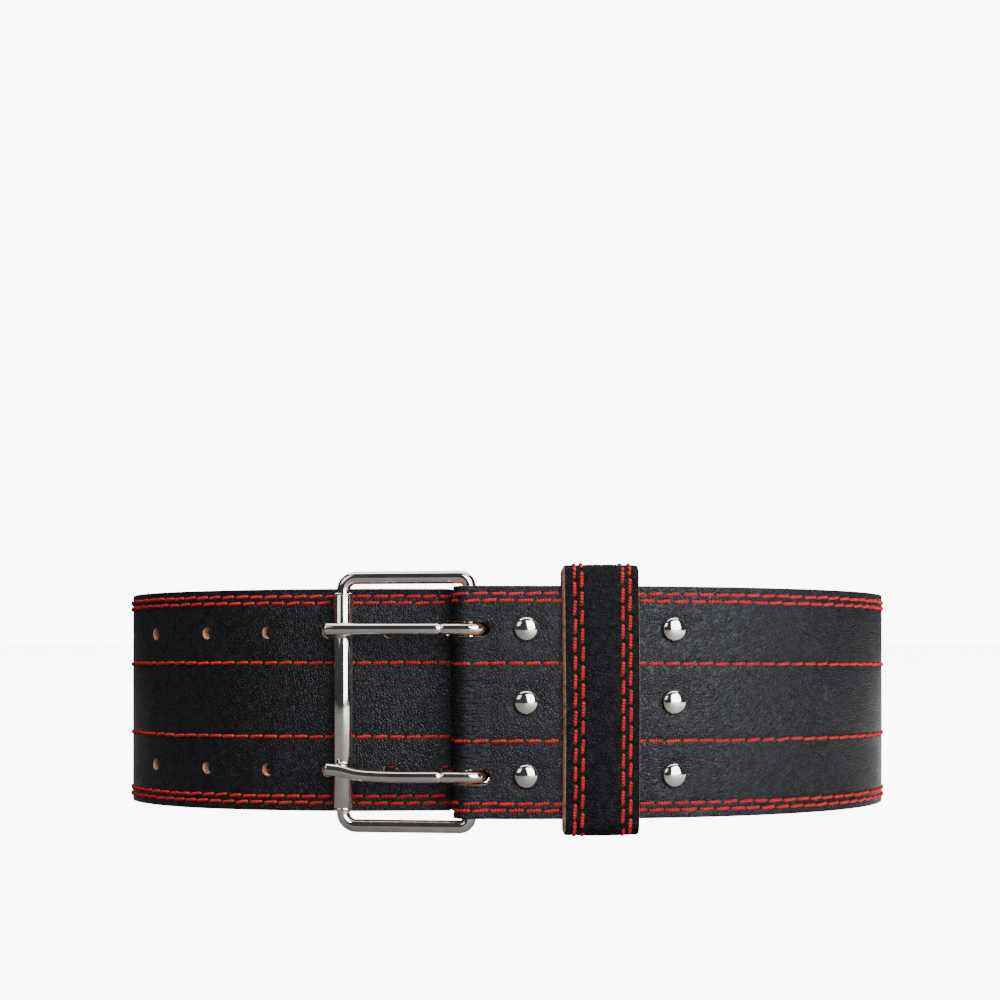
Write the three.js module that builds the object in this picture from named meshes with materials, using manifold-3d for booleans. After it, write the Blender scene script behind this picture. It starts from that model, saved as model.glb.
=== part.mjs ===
// Double-prong leather weightlifting belt, fastened into its worn loop and standing on its edge.
// Millimetres, +Z up. The buckle faces -Y, and the loop's long way is X.
//
// Leather pieces are laid out flat first: s runs along the loop from the buckle's bar towards +X,
// v is the distance outwards from the loop's line, z is the height. wrap() then bends them round the loop.
// Metal pieces stay rigid and are set on the loop at their station.
import * as THREE from 'three';
import { mergeVertices } from 'three/addons/utils/BufferGeometryUtils.js';
import Module from 'manifold-3d';

const wasm = await Module();
wasm.setup();

// Loop, measured to the middle of the leather
const LOOP_HALF_WIDTH = 187.5;
const LOOP_HALF_DEPTH = 118;
const LOOP_SQUARENESS = 2.3; // 2 is an ellipse, more is squarer
const BAR_X = -16.6; // where the buckle's bar stands, left of the loop's middle

// Leather
const STRAP_WIDTH = 101.6;
const STRAP_THICKNESS = 4;
const TONGUE_TAPER_TOP = 0.6; // how much the tongue's end is narrower at each edge
const TONGUE_TAPER_BOTTOM = 2.4;
const TAB_LENGTH = 105; // from the bar to the tab's end
const TAB_CORNER = 6;
const HOLE_DIAMETER = 5.5;
const HOLE_ROW_SPACING = 62;
const SLOT_REACH = 9.5; // from the bar to the slot's round end
const KEEPER_WIDTH = 32;
const KEEPER_THICKNESS = 3;
const KEEPER_ABOVE = 9; // how far the keeper stands above and below the strap
const KEEPER_BELOW = 7;
const KEEPER_FLAT = 2.4; // flat stretch at the keeper's bends
const PATCH_WIDTH = 113;
const PATCH_MARGIN = 8.3; // strap left bare above and below the patch
const PATCH_THICKNESS = 1.2;
const PATCH_X = 26; // patch's middle, right of the loop's middle
const PATCH_CORNER = 2;

// Metal
const FRAME_WIRE = 5.8;
const FRAME_SPAN = 56.4; // between the middles of the two upright bars
const FRAME_GAP = 1.2; // between the strap's edge and the frame's level wires
const FRAME_CORNER = 4.4; // bend radius at the wire's middle
const ROLLER_WALL = 1.15;
const ROLLER_SHORT = 5.6; // how much shorter the roller is than the strap is wide
const PRONG_WIRE = 5.3;
const PRONG_OVERHANG = 2.6; // how far a tip reaches past the roller
const PRONG_WRAP_REACH = 11; // from the bar to the cut end of the wrap
const RIVET_CAP_DIAMETER = 10.8;
const RIVET_CAP_HEIGHT = 2.6;
const RIVET_BACK_DIAMETER = 11.8;
const RIVET_BACK_HEIGHT = 1.8;
const RIVET_SHANK_DIAMETER = 4;
const RIVET_ROW_SPACING = 32;
const RIVET_FROM_BAR = 25; // first column
const RIVET_FROM_TAB_END = 15; // second column

const CLEARANCE = 0.3;

// The loop's columns of prong holes, as distances from the bar along the tongue
const HOLE_COLUMNS = [10.8, 37.7, 66.5, 96.7, 130.5, 168, 203, 238, 273];

// Prongs: height from the strap's middle line, and how far the tip is bent up
const PRONGS = [
  { name: 'prong_upper', height: 32, tipLift: 0 },
  { name: 'prong_lower', height: -32.6, tipLift: 3.2 },
];

// Rivet columns, with the keeper midway between them
const RIVET_COLUMNS = [
  { name: 'rivet_1', station: RIVET_FROM_BAR },
  { name: 'rivet_2', station: TAB_LENGTH - RIVET_FROM_TAB_END },
];
const KEEPER_STATION = (RIVET_COLUMNS[0].station + RIVET_COLUMNS[1].station) / 2;

// Levels that follow from the sizes above
const HALF_LEATHER = STRAP_THICKNESS / 2;
const STRAP_MIDDLE = STRAP_WIDTH / 2;
const FOLD_RADIUS = FRAME_WIRE / 2 + CLEARANCE + HALF_LEATHER;
const BAR_LEVEL = -FOLD_RADIUS;
const FOLD_BOTTOM = BAR_LEVEL - FOLD_RADIUS - HALF_LEATHER;
const ROLLER_BORE = FRAME_WIRE / 2 + CLEARANCE;
const ROLLER_RADIUS = ROLLER_BORE + ROLLER_WALL;
const WRAP_RADIUS = FRAME_WIRE / 2 + CLEARANCE + PRONG_WIRE / 2;
const SLOT_HEIGHT = PRONG_WIRE + 4 * CLEARANCE;
const TIGHT_TAB_LEVEL = -STRAP_THICKNESS - CLEARANCE;
const KEEPER_TAB_LEVEL = -STRAP_THICKNESS - KEEPER_THICKNESS - 2 * CLEARANCE;
const TONGUE_FOLD_LEVEL = FOLD_BOTTOM - CLEARANCE - HALF_LEATHER;
const TONGUE_ROLLER_LEVEL = BAR_LEVEL - ROLLER_RADIUS - CLEARANCE - HALF_LEATHER;

// The tongue stops just short of the prongs' wraps
const WRAP_OUTER = WRAP_RADIUS + PRONG_WIRE / 2;
const WRAP_DROP = BAR_LEVEL - (TONGUE_FOLD_LEVEL + HALF_LEATHER);
const TONGUE_END = Math.sqrt(Math.max(WRAP_OUTER ** 2 - WRAP_DROP ** 2, 0)) + CLEARANCE;

// Tab: level of its middle at distances from the bar. It is flat where the rivets clamp it,
// and passes under the keeper between them.
const RIVET_REACH = RIVET_BACK_DIAMETER / 2 + 0.7;
const KEEPER_REACH = KEEPER_WIDTH / 2 + 0.7;
const TAB_LEVELS = [
  { at: 0, level: 2 * BAR_LEVEL },
  { at: FOLD_RADIUS, level: 2 * BAR_LEVEL + 0.2 },
  { at: RIVET_COLUMNS[0].station - RIVET_REACH, level: TIGHT_TAB_LEVEL - 0.6 },
  { at: RIVET_COLUMNS[0].station + RIVET_REACH, level: TIGHT_TAB_LEVEL - 0.6 },
  { at: KEEPER_STATION - KEEPER_REACH, level: KEEPER_TAB_LEVEL - 0.1 },
  { at: KEEPER_STATION + KEEPER_REACH, level: KEEPER_TAB_LEVEL - 0.1 },
  { at: RIVET_COLUMNS[1].station - RIVET_REACH, level: TIGHT_TAB_LEVEL - 0.2 },
  { at: TAB_LENGTH, level: TIGHT_TAB_LEVEL - 0.2 },
];

// Tongue: level of its middle at distances from the bar
const TONGUE_LEVELS = [
  { at: 0, level: TONGUE_FOLD_LEVEL },
  { at: 0.25 * FRAME_SPAN, level: TONGUE_FOLD_LEVEL },
  { at: FRAME_SPAN, level: TONGUE_ROLLER_LEVEL - 0.2 },
  { at: 0.55 * LOOP_HALF_WIDTH, level: 0.8 * TONGUE_ROLLER_LEVEL },
  { at: 0.85 * LOOP_HALF_WIDTH, level: 0.4 * TONGUE_ROLLER_LEVEL },
  { at: 1.15 * LOOP_HALF_WIDTH, level: 0 },
];
const TONGUE_SPAN = TONGUE_LEVELS.at(-1).at;

// Smooth level between the rows of a table, running flat at each row where the table turns
function levelAt(rows, at) {
  const last = rows.length - 1;
  if (at <= rows[0].at) return rows[0].level;
  if (at >= rows[last].at) return rows[last].level;
  const i = rows.findIndex((row) => row.at > at) - 1;
  const slope = (p) => (rows[p + 1].level - rows[p].level) / (rows[p + 1].at - rows[p].at);
  const slopeAt = (row) => {
    if (row === 0 || row === last) return 0;
    const [before, after] = [slope(row - 1), slope(row)];
    return before * after > 0 ? (2 * before * after) / (before + after) : 0;
  };
  const span = rows[i + 1].at - rows[i].at;
  const t = (at - rows[i].at) / span;
  const level = (2 * t ** 3 - 3 * t ** 2 + 1) * rows[i].level + (3 * t ** 2 - 2 * t ** 3) * rows[i + 1].level;
  return level + (t ** 3 - 2 * t ** 2 + t) * span * slopeAt(i) + (t ** 3 - t ** 2) * span * slopeAt(i + 1);
}

// The loop's line: points of a squared ellipse, with the length run since the first
function makeLoop() {
  const count = 1440;
  const points = [];
  for (let i = 0; i <= count; i += 1) {
    const angle = -Math.PI / 2 + (i / count) * 2 * Math.PI;
    const x = Math.abs(Math.cos(angle) / LOOP_HALF_WIDTH) ** LOOP_SQUARENESS;
    const y = Math.abs(Math.sin(angle) / LOOP_HALF_DEPTH) ** LOOP_SQUARENESS;
    const radius = (x + y) ** (-1 / LOOP_SQUARENESS);
    points.push(new THREE.Vector2(radius * Math.cos(angle), radius * Math.sin(angle)));
  }
  const lengths = [0];
  for (let i = 1; i <= count; i += 1) lengths.push(lengths[i - 1] + points[i].distanceTo(points[i - 1]));
  return { points, lengths, total: lengths[count] };
}
const LOOP = makeLoop();

function lengthAtX(x) {
  const i = LOOP.points.findIndex((point) => point.x >= x);
  const [a, b] = [LOOP.points[i - 1], LOOP.points[i]];
  const share = (x - a.x) / (b.x - a.x);
  return LOOP.lengths[i - 1] + share * (LOOP.lengths[i] - LOOP.lengths[i - 1]);
}
const BAR_LENGTH = -lengthAtX(-BAR_X); // the front is the same on both sides of the middle

// Point and outward direction on the loop at station s
function onLoop(s) {
  const run = (((s + BAR_LENGTH) % LOOP.total) + LOOP.total) % LOOP.total;
  let low = 0;
  let high = LOOP.lengths.length - 1;
  while (high - low > 1) {
    const middle = (low + high) >> 1;
    if (LOOP.lengths[middle] <= run) low = middle;
    else high = middle;
  }
  const share = (run - LOOP.lengths[low]) / (LOOP.lengths[high] - LOOP.lengths[low]);
  const point = LOOP.points[low].clone().lerp(LOOP.points[high], share);
  const power = LOOP_SQUARENESS - 1;
  const outward = new THREE.Vector2(
    (Math.sign(point.x) * Math.abs(point.x / LOOP_HALF_WIDTH) ** power) / LOOP_HALF_WIDTH,
    (Math.sign(point.y) * Math.abs(point.y / LOOP_HALF_DEPTH) ** power) / LOOP_HALF_DEPTH,
  ).normalize();
  return { point, outward };
}

// Place on the loop of a laid-out point
function wrap(s, v, z) {
  const { point, outward } = onLoop(s);
  return new THREE.Vector3(point.x + outward.x * v, point.y + outward.y * v, z);
}

// Solid work: a geometry becomes a solid to be joined or cut, and a solid becomes a geometry
function toSolid(geometry) {
  const bare = geometry.index ? geometry.clone() : geometry;
  bare.deleteAttribute('normal');
  bare.deleteAttribute('uv');
  const merged = mergeVertices(bare, 1e-3);
  const mesh = new wasm.Mesh({
    numProp: 3,
    vertProperties: new Float32Array(merged.attributes.position.array),
    triVerts: new Uint32Array(merged.index.array),
  });
  return new wasm.Manifold(mesh);
}

function toGeometry(solid) {
  const mesh = solid.getMesh();
  const geometry = new THREE.BufferGeometry();
  geometry.setAttribute('position', new THREE.BufferAttribute(new Float32Array(mesh.vertProperties), 3));
  geometry.setIndex(new THREE.BufferAttribute(new Uint32Array(mesh.triVerts), 1));
  return geometry;
}

// Bend a laid-out geometry (x = s, y = v) round the loop. The bend mirrors it,
// so each triangle is written the other way round.
function bendRoundLoop(geometry) {
  const flat = geometry.attributes.position;
  const bent = [];
  for (let i = 0; i < flat.count; i += 3) {
    for (const corner of [i, i + 2, i + 1]) {
      bent.push(wrap(flat.getX(corner), flat.getY(corner), flat.getZ(corner)));
    }
  }
  return new THREE.BufferGeometry().setFromPoints(bent);
}

// Solid skinned over closed rings of points, each with as many points, with flat ends
function loft(rings) {
  const size = rings[0].length;
  const points = rings.flat();
  const faces = [];
  for (let i = 0; i + 1 < rings.length; i += 1) {
    for (let j = 0; j < size; j += 1) {
      const a = i * size + j;
      const b = i * size + ((j + 1) % size);
      faces.push(a, b, b + size, a, b + size, a + size);
    }
  }
  const lastRing = (rings.length - 1) * size;
  for (let j = 1; j + 1 < size; j += 1) {
    faces.push(0, j + 1, j, lastRing, lastRing + j, lastRing + j + 1);
  }
  const geometry = new THREE.BufferGeometry().setFromPoints(points);
  geometry.setIndex(faces);
  return geometry;
}

// A straight bar of round or oval section that cuts through the leather along v.
// The oval runs from s = from to s = to.
function cutter(from, to, height, z, lowV, highV) {
  const radius = height / 2;
  const middleFrom = Math.min(from + radius, to - radius);
  const shape = new THREE.Shape();
  shape.absarc(to - radius, z, radius, -Math.PI / 2, Math.PI / 2, false);
  shape.absarc(middleFrom, z, radius, Math.PI / 2, (3 * Math.PI) / 2, false);
  const geometry = new THREE.ExtrudeGeometry(shape, {
    depth: highV - lowV, bevelEnabled: false, curveSegments: 4,
  });
  // The extrusion's depth becomes v, and the shape's second way becomes z
  geometry.applyMatrix4(new THREE.Matrix4().makeBasis(
    new THREE.Vector3(1, 0, 0), new THREE.Vector3(0, 0, 1), new THREE.Vector3(0, -1, 0),
  ));
  geometry.translate(0, highV, 0);
  return geometry;
}

// Strap: its middle line from the tongue's end round the loop, round the bar and along the tab
function strapLine() {
  const line = [];
  const steps = Math.round(LOOP.total / 9);
  for (let i = 0; i <= steps; i += 1) {
    const s = LOOP.total - TONGUE_END - (i / steps) * (LOOP.total - TONGUE_END - 1);
    const fromBar = LOOP.total - s;
    line.push({ s, v: levelAt(TONGUE_LEVELS, fromBar), narrow: Math.max(0, 1 - fromBar / TONGUE_SPAN) });
  }
  const bendSteps = 10;
  for (let i = 0; i <= bendSteps; i += 1) {
    const angle = Math.PI / 2 + (i / bendSteps) * Math.PI;
    line.push({
      s: FOLD_RADIUS * Math.cos(angle), v: BAR_LEVEL + FOLD_RADIUS * Math.sin(angle), narrow: 0,
    });
  }
  const tabSteps = 26;
  for (let i = 1; i <= tabSteps; i += 1) {
    const s = (i / tabSteps) * TAB_LENGTH;
    line.push({ s, v: levelAt(TAB_LEVELS, s), narrow: 0 });
  }
  return line;
}

function strapBlank() {
  const line = strapLine();
  const rings = line.map((here, i) => {
    const before = line[Math.max(i - 1, 0)];
    const after = line[Math.min(i + 1, line.length - 1)];
    const along = new THREE.Vector2(after.s - before.s, after.v - before.v).normalize();
    // The line starts towards -s with its outer face at +v
    const side = new THREE.Vector2(along.y, -along.x).multiplyScalar(HALF_LEATHER);
    const low = here.narrow * TONGUE_TAPER_BOTTOM;
    const high = STRAP_WIDTH - here.narrow * TONGUE_TAPER_TOP;
    const outer = [here.s + side.x, here.v + side.y];
    const inner = [here.s - side.x, here.v - side.y];
    return [wrap(...outer, low), wrap(...outer, high), wrap(...inner, high), wrap(...inner, low)];
  });
  return toSolid(loft(rings));
}

function strapCuts() {
  const cuts = [];
  const reach = HALF_LEATHER + 2;
  for (const column of HOLE_COLUMNS) {
    const v = levelAt(TONGUE_LEVELS, column);
    const s = LOOP.total - column;
    const radius = HOLE_DIAMETER / 2;
    for (const row of [-0.5, 0.5]) {
      const z = STRAP_MIDDLE + row * HOLE_ROW_SPACING;
      cuts.push(cutter(s - radius, s + radius, HOLE_DIAMETER, z, v - reach, v + reach));
    }
  }
  for (const prong of PRONGS) {
    const z = STRAP_MIDDLE + prong.height;
    const left = -FOLD_RADIUS - reach;
    cuts.push(cutter(left, SLOT_REACH, SLOT_HEIGHT, z, FOLD_BOTTOM - CLEARANCE / 2, reach));
  }
  const hole = RIVET_SHANK_DIAMETER + 2 * CLEARANCE;
  for (const { station } of RIVET_COLUMNS) {
    for (const row of [-1, 0, 1]) {
      const z = STRAP_MIDDLE + row * RIVET_ROW_SPACING;
      const low = levelAt(TAB_LEVELS, station) - reach;
      cuts.push(cutter(station - hole / 2, station + hole / 2, hole, z, low, reach));
    }
  }
  return cuts.map((cut) => toSolid(bendRoundLoop(cut)));
}

// Two blocks that round the tab's free corners
function tabCornerCuts() {
  return [-1, 1].map((way) => {
    const z = way > 0 ? STRAP_WIDTH : 0;
    const inward = -way;
    const shape = new THREE.Shape();
    shape.moveTo(TAB_LENGTH + 1, z - inward);
    shape.lineTo(TAB_LENGTH + 1, z + inward * TAB_CORNER);
    shape.lineTo(TAB_LENGTH, z + inward * TAB_CORNER);
    const turn = (way * Math.PI) / 2;
    shape.absarc(TAB_LENGTH - TAB_CORNER, z + inward * TAB_CORNER, TAB_CORNER, 0, turn, way < 0);
    shape.lineTo(TAB_LENGTH - TAB_CORNER, z - inward);
    const geometry = new THREE.ExtrudeGeometry(shape, {
      depth: STRAP_THICKNESS + 0.4, bevelEnabled: false, curveSegments: 4,
    });
    geometry.applyMatrix4(new THREE.Matrix4().makeBasis(
      new THREE.Vector3(1, 0, 0), new THREE.Vector3(0, 0, 1), new THREE.Vector3(0, -1, 0),
    ));
    geometry.translate(0, TAB_LEVELS.at(-1).level + HALF_LEATHER + 0.2, 0);
    return toSolid(bendRoundLoop(geometry));
  });
}

function makeStrap() {
  let strap = strapBlank();
  for (const cut of [...strapCuts(), ...tabCornerCuts()]) strap = strap.subtract(cut);
  return toGeometry(strap);
}

// Keeper: a closed band seen along s, with two upright runs joined by short bends
function makeKeeper() {
  const halfInner = HALF_LEATHER + CLEARANCE;
  const halfOuter = halfInner + KEEPER_THICKNESS;
  const low = -KEEPER_BELOW;
  const high = STRAP_WIDTH + KEEPER_ABOVE;
  const band = (half, z0, z1, corner) => {
    const path = new THREE.Path();
    path.moveTo(half, z0 + corner);
    path.lineTo(half, z1 - corner);
    path.absarc(half - corner, z1 - corner, corner, 0, Math.PI / 2, false);
    path.absarc(corner - half, z1 - corner, corner, Math.PI / 2, Math.PI, false);
    path.absarc(corner - half, z0 + corner, corner, Math.PI, 1.5 * Math.PI, false);
    path.absarc(half - corner, z0 + corner, corner, 1.5 * Math.PI, 2 * Math.PI, false);
    return path.getPoints(5);
  };
  const shape = new THREE.Shape(band(halfOuter, low, high, halfOuter - KEEPER_FLAT / 2));
  const wall = KEEPER_THICKNESS;
  const innerCorner = Math.min(halfInner - 0.2, halfOuter - KEEPER_FLAT / 2 - wall / 2);
  shape.holes.push(new THREE.Path(band(halfInner, low + wall, high - wall, innerCorner)));
  const geometry = new THREE.ExtrudeGeometry(shape, {
    depth: KEEPER_WIDTH, steps: 4, bevelEnabled: false,
  });
  // The shape's ways are v and z, and its depth runs along s
  geometry.applyMatrix4(new THREE.Matrix4().makeBasis(
    new THREE.Vector3(0, 1, 0), new THREE.Vector3(0, 0, 1), new THREE.Vector3(1, 0, 0),
  ));
  geometry.translate(KEEPER_STATION - KEEPER_WIDTH / 2, 0, 0);
  return bendRoundLoop(geometry);
}

// Patch on the side opposite the buckle, bent as the strap is
function makePatch() {
  const station = LOOP.total / 2 - lengthAtX(PATCH_X) - BAR_LENGTH;
  const [w, h, r] = [PATCH_WIDTH / 2, STRAP_MIDDLE - PATCH_MARGIN, PATCH_CORNER];
  const columns = 24;
  const heightAt = (share) => {
    const inset = Math.max(0, Math.abs(share) * w - (w - r));
    return h - (r - Math.sqrt(Math.max(r * r - inset * inset, 0)));
  };
  const shares = [-1, -1 + r / w / 3, -1 + r / w];
  for (let i = 1; i < columns; i += 1) shares.push(-1 + r / w + (i / columns) * (2 - (2 * r) / w));
  shares.push(1 - r / w, 1 - r / w / 3, 1);
  const back = HALF_LEATHER + CLEARANCE;
  const front = back + PATCH_THICKNESS;
  const rings = shares.map((share) => {
    const s = station + share * w;
    const half = heightAt(share);
    return [
      wrap(s, back, STRAP_MIDDLE - half), wrap(s, back, STRAP_MIDDLE + half),
      wrap(s, front, STRAP_MIDDLE + half), wrap(s, front, STRAP_MIDDLE - half),
    ];
  });
  return loft(rings);
}

// Buckle: a rigid frame of reference from the bar's middle towards the roller.
// Its x is towards the tips, its y is outwards from the belt, and its z is up.
function buckleSeat() {
  const bar = wrap(0, BAR_LEVEL, 0);
  let reach = FRAME_SPAN;
  const rollerAt = (length) => wrap(-length, BAR_LEVEL, 0);
  while (rollerAt(reach).distanceTo(bar) < FRAME_SPAN) reach += 0.01;
  const across = rollerAt(reach).sub(bar).normalize();
  const up = new THREE.Vector3(0, 0, 1);
  const outward = new THREE.Vector3().crossVectors(across, up).normalize();
  if (outward.y > 0) outward.negate();
  return { bar, across, outward, up };
}
const SEAT = buckleSeat();

function onBuckle(t, n, z) {
  return SEAT.bar.clone().addScaledVector(SEAT.across, t).addScaledVector(SEAT.outward, n).setZ(z);
}

function makeFrame() {
  const low = -FRAME_GAP - FRAME_WIRE / 2;
  const high = STRAP_WIDTH - low;
  const corners = [
    { t: FRAME_CORNER, z: low + FRAME_CORNER, from: Math.PI },
    { t: FRAME_SPAN - FRAME_CORNER, z: low + FRAME_CORNER, from: 1.5 * Math.PI },
    { t: FRAME_SPAN - FRAME_CORNER, z: high - FRAME_CORNER, from: 0 },
    { t: FRAME_CORNER, z: high - FRAME_CORNER, from: 0.5 * Math.PI },
  ];
  const cornerSteps = 4;
  const sides = 12;
  const rings = [];
  for (const corner of corners) {
    for (let i = 0; i <= cornerSteps; i += 1) {
      const angle = corner.from + (i / cornerSteps) * (Math.PI / 2);
      const ring = [];
      for (let j = 0; j < sides; j += 1) {
        const turn = (j / sides) * 2 * Math.PI;
        const out = FRAME_CORNER + (FRAME_WIRE / 2) * Math.cos(turn);
        const t = corner.t + out * Math.cos(angle);
        const z = corner.z + out * Math.sin(angle);
        ring.push(onBuckle(t, (FRAME_WIRE / 2) * Math.sin(turn), z));
      }
      rings.push(ring);
    }
  }
  return closedLoft(rings);
}

// Solid skinned over rings whose last joins the first
function closedLoft(rings) {
  const size = rings[0].length;
  const faces = [];
  for (let i = 0; i < rings.length; i += 1) {
    const next = ((i + 1) % rings.length) * size;
    for (let j = 0; j < size; j += 1) {
      const k = (j + 1) % size;
      faces.push(i * size + j, i * size + k, next + k, i * size + j, next + k, next + j);
    }
  }
  const geometry = new THREE.BufferGeometry().setFromPoints(rings.flat());
  geometry.setIndex(faces);
  return geometry;
}

function makeRoller() {
  const half = (STRAP_WIDTH - ROLLER_SHORT) / 2;
  const profile = [
    new THREE.Vector2(ROLLER_BORE, -half),
    new THREE.Vector2(ROLLER_RADIUS, -half),
    new THREE.Vector2(ROLLER_RADIUS, half),
    new THREE.Vector2(ROLLER_BORE, half),
    new THREE.Vector2(ROLLER_BORE, -half),
  ];
  const geometry = new THREE.LatheGeometry(profile, 24);
  geometry.rotateX(Math.PI / 2);
  const place = onBuckle(FRAME_SPAN, 0, STRAP_MIDDLE);
  geometry.translate(place.x, place.y, place.z);
  return geometry;
}

// Prong: wire from its tip over the roller, round the bar and up under its own shank
function prongLine(prong) {
  const overRoller = ROLLER_RADIUS + CLEARANCE + PRONG_WIRE / 2;
  const tip = FRAME_SPAN + ROLLER_RADIUS + PRONG_OVERHANG - PRONG_WIRE / 2;
  const points = [
    { t: tip, n: overRoller - 0.4, lift: 1 },
    { t: FRAME_SPAN, n: overRoller, lift: 0.8 },
    { t: FRAME_SPAN * 0.86, n: overRoller, lift: 0.25 },
    { t: FRAME_SPAN * 0.6, n: WRAP_RADIUS + 0.9, lift: 0 },
    { t: FRAME_SPAN * 0.25, n: WRAP_RADIUS + 0.3, lift: 0 },
  ];
  for (let angle = 90; angle >= -120; angle -= 30) {
    const turn = THREE.MathUtils.degToRad(angle);
    points.push({ t: -WRAP_RADIUS * Math.cos(turn), n: WRAP_RADIUS * Math.sin(turn), lift: 0 });
  }
  points.push({ t: WRAP_RADIUS * 1.02, n: -WRAP_RADIUS * 0.45, lift: 0 });
  const under = WRAP_RADIUS - PRONG_WIRE - 2 * CLEARANCE;
  points.push({ t: PRONG_WRAP_REACH, n: Math.min(under, WRAP_RADIUS * 0.02), lift: 0 });
  const z = STRAP_MIDDLE + prong.height;
  return new THREE.CatmullRomCurve3(points.map(({ t, n, lift }) => onBuckle(t, n, z + lift * prong.tipLift)));
}

function makeProng(prong) {
  const sides = 8;
  const section = new THREE.Shape();
  section.absarc(0, 0, PRONG_WIRE / 2, 0, 2 * Math.PI, false);
  const line = prongLine(prong);
  const wire = new THREE.ExtrudeGeometry(section, {
    steps: 36, extrudePath: line, curveSegments: sides / 2, bevelEnabled: false,
  });
  const tip = new THREE.SphereGeometry(PRONG_WIRE / 2, sides, 6);
  tip.rotateX(Math.PI / 2);
  const end = line.getPoint(0);
  tip.translate(end.x, end.y, end.z);
  return toGeometry(toSolid(wire).add(toSolid(tip)));
}

// Rivet: domed cap outside, shank through strap and tab, and a flatter domed cap inside
function makeRivet(station, row) {
  const outerSeat = HALF_LEATHER + CLEARANCE;
  const backSeat = levelAt(TAB_LEVELS, station) - HALF_LEATHER - CLEARANCE;
  const dome = (radius, height, seat, away) => {
    const steps = 3;
    const points = [];
    for (let i = 0; i <= steps; i += 1) {
      const turn = (i / steps) * (Math.PI / 2);
      const rise = 0.25 * height + 0.75 * height * Math.sin(turn);
      points.push(new THREE.Vector2(radius * Math.cos(turn), seat + away * rise));
    }
    points[steps].x = 0;
    return points;
  };
  const cap = dome(RIVET_CAP_DIAMETER / 2, RIVET_CAP_HEIGHT, outerSeat, 1);
  const back = dome(RIVET_BACK_DIAMETER / 2, RIVET_BACK_HEIGHT, backSeat, -1).reverse();
  const shank = RIVET_SHANK_DIAMETER / 2;
  const profile = [
    ...back,
    new THREE.Vector2(RIVET_BACK_DIAMETER / 2, backSeat),
    new THREE.Vector2(shank, backSeat),
    new THREE.Vector2(shank, outerSeat),
    new THREE.Vector2(RIVET_CAP_DIAMETER / 2, outerSeat),
    ...cap,
  ];
  const geometry = new THREE.LatheGeometry(profile, 12);
  const { outward } = onLoop(station);
  const away = new THREE.Vector3(outward.x, outward.y, 0);
  geometry.applyQuaternion(new THREE.Quaternion().setFromUnitVectors(new THREE.Vector3(0, 1, 0), away));
  const seat = wrap(station, 0, STRAP_MIDDLE + row * RIVET_ROW_SPACING);
  geometry.translate(seat.x, seat.y, seat.z);
  return geometry;
}

// Materials
const blackLeather = new THREE.MeshStandardMaterial({ color: 0x17181b, roughness: 0.5, metalness: 0 });
const patchLeather = new THREE.MeshStandardMaterial({ color: 0x111216, roughness: 0.65, metalness: 0 });
const nickel = new THREE.MeshStandardMaterial({ color: 0xd9d6d0, roughness: 0.15, metalness: 1 });

const belt = new THREE.Group();

function add(name, geometry, material) {
  const mesh = new THREE.Mesh(geometry, material);
  mesh.name = name;
  belt.add(mesh);
}

add('strap', makeStrap(), blackLeather);
add('keeper', makeKeeper(), blackLeather);
add('patch', makePatch(), patchLeather);
add('buckle_frame', makeFrame(), nickel);
add('roller', makeRoller(), nickel);
for (const prong of PRONGS) add(prong.name, makeProng(prong), nickel);
for (const column of RIVET_COLUMNS) {
  ['bottom', 'middle', 'top'].forEach((row, i) => {
    add(`${column.name}_${row}`, makeRivet(column.station, i - 1), nickel);
  });
}

// The frame and the keeper reach below the strap, so the belt leans back on the edge opposite the buckle
const lowest = Math.max(FRAME_GAP + FRAME_WIRE, KEEPER_BELOW);
belt.rotation.x = -Math.atan2(lowest, 2 * LOOP_HALF_DEPTH + HALF_LEATHER + BAR_LEVEL);

// Origin under the middle of the belt's box, on the floor
const stand = new THREE.Group();
stand.add(belt);
stand.updateMatrixWorld(true);
const box = new THREE.Box3().setFromObject(stand, true);
belt.position.set(-(box.min.x + box.max.x) / 2, -(box.min.y + box.max.y) / 2, -box.min.z);

export default stand;
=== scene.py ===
"""Double-prong leather weightlifting belt, fastened into its worn loop.

Leather pieces are laid out flat in millimetres: u runs along the leather, zeta is the height on it
and d is the distance from the leather's middle towards its grain side. They are then bent round the
loop and placed in metres. Metal pieces are modelled in the buckle's or the rivet's own directions.
"""

import logging
import math
from collections.abc import Callable
from dataclasses import dataclass
from enum import Enum

import bmesh
import bpy
import numpy as np
from mathutils import Matrix, Vector


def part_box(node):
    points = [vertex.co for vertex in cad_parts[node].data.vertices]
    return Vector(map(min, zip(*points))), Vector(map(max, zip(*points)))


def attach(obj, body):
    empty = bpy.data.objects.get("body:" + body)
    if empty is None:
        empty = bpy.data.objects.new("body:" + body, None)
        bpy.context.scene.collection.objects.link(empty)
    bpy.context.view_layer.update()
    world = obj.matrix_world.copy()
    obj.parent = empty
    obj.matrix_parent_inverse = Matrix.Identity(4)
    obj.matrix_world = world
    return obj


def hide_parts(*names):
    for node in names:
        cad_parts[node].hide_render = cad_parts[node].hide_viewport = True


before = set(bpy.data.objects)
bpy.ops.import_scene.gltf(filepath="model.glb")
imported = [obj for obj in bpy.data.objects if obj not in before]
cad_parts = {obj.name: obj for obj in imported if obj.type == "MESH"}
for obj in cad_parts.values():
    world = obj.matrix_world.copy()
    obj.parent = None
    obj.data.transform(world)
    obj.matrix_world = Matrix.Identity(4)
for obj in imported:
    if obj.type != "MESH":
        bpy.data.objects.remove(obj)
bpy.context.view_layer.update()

MM = 0.001
Array = np.ndarray
Colour = tuple[float, float, float]
Placer = Callable[[Array, Array, Array], Array]
log = logging.getLogger("belt")


class Slot(Enum):
    """Material slots of the record."""

    BLACK_LEATHER = "black_leather"
    PATCH_LEATHER = "patch_leather"
    NICKEL = "nickel"


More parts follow.
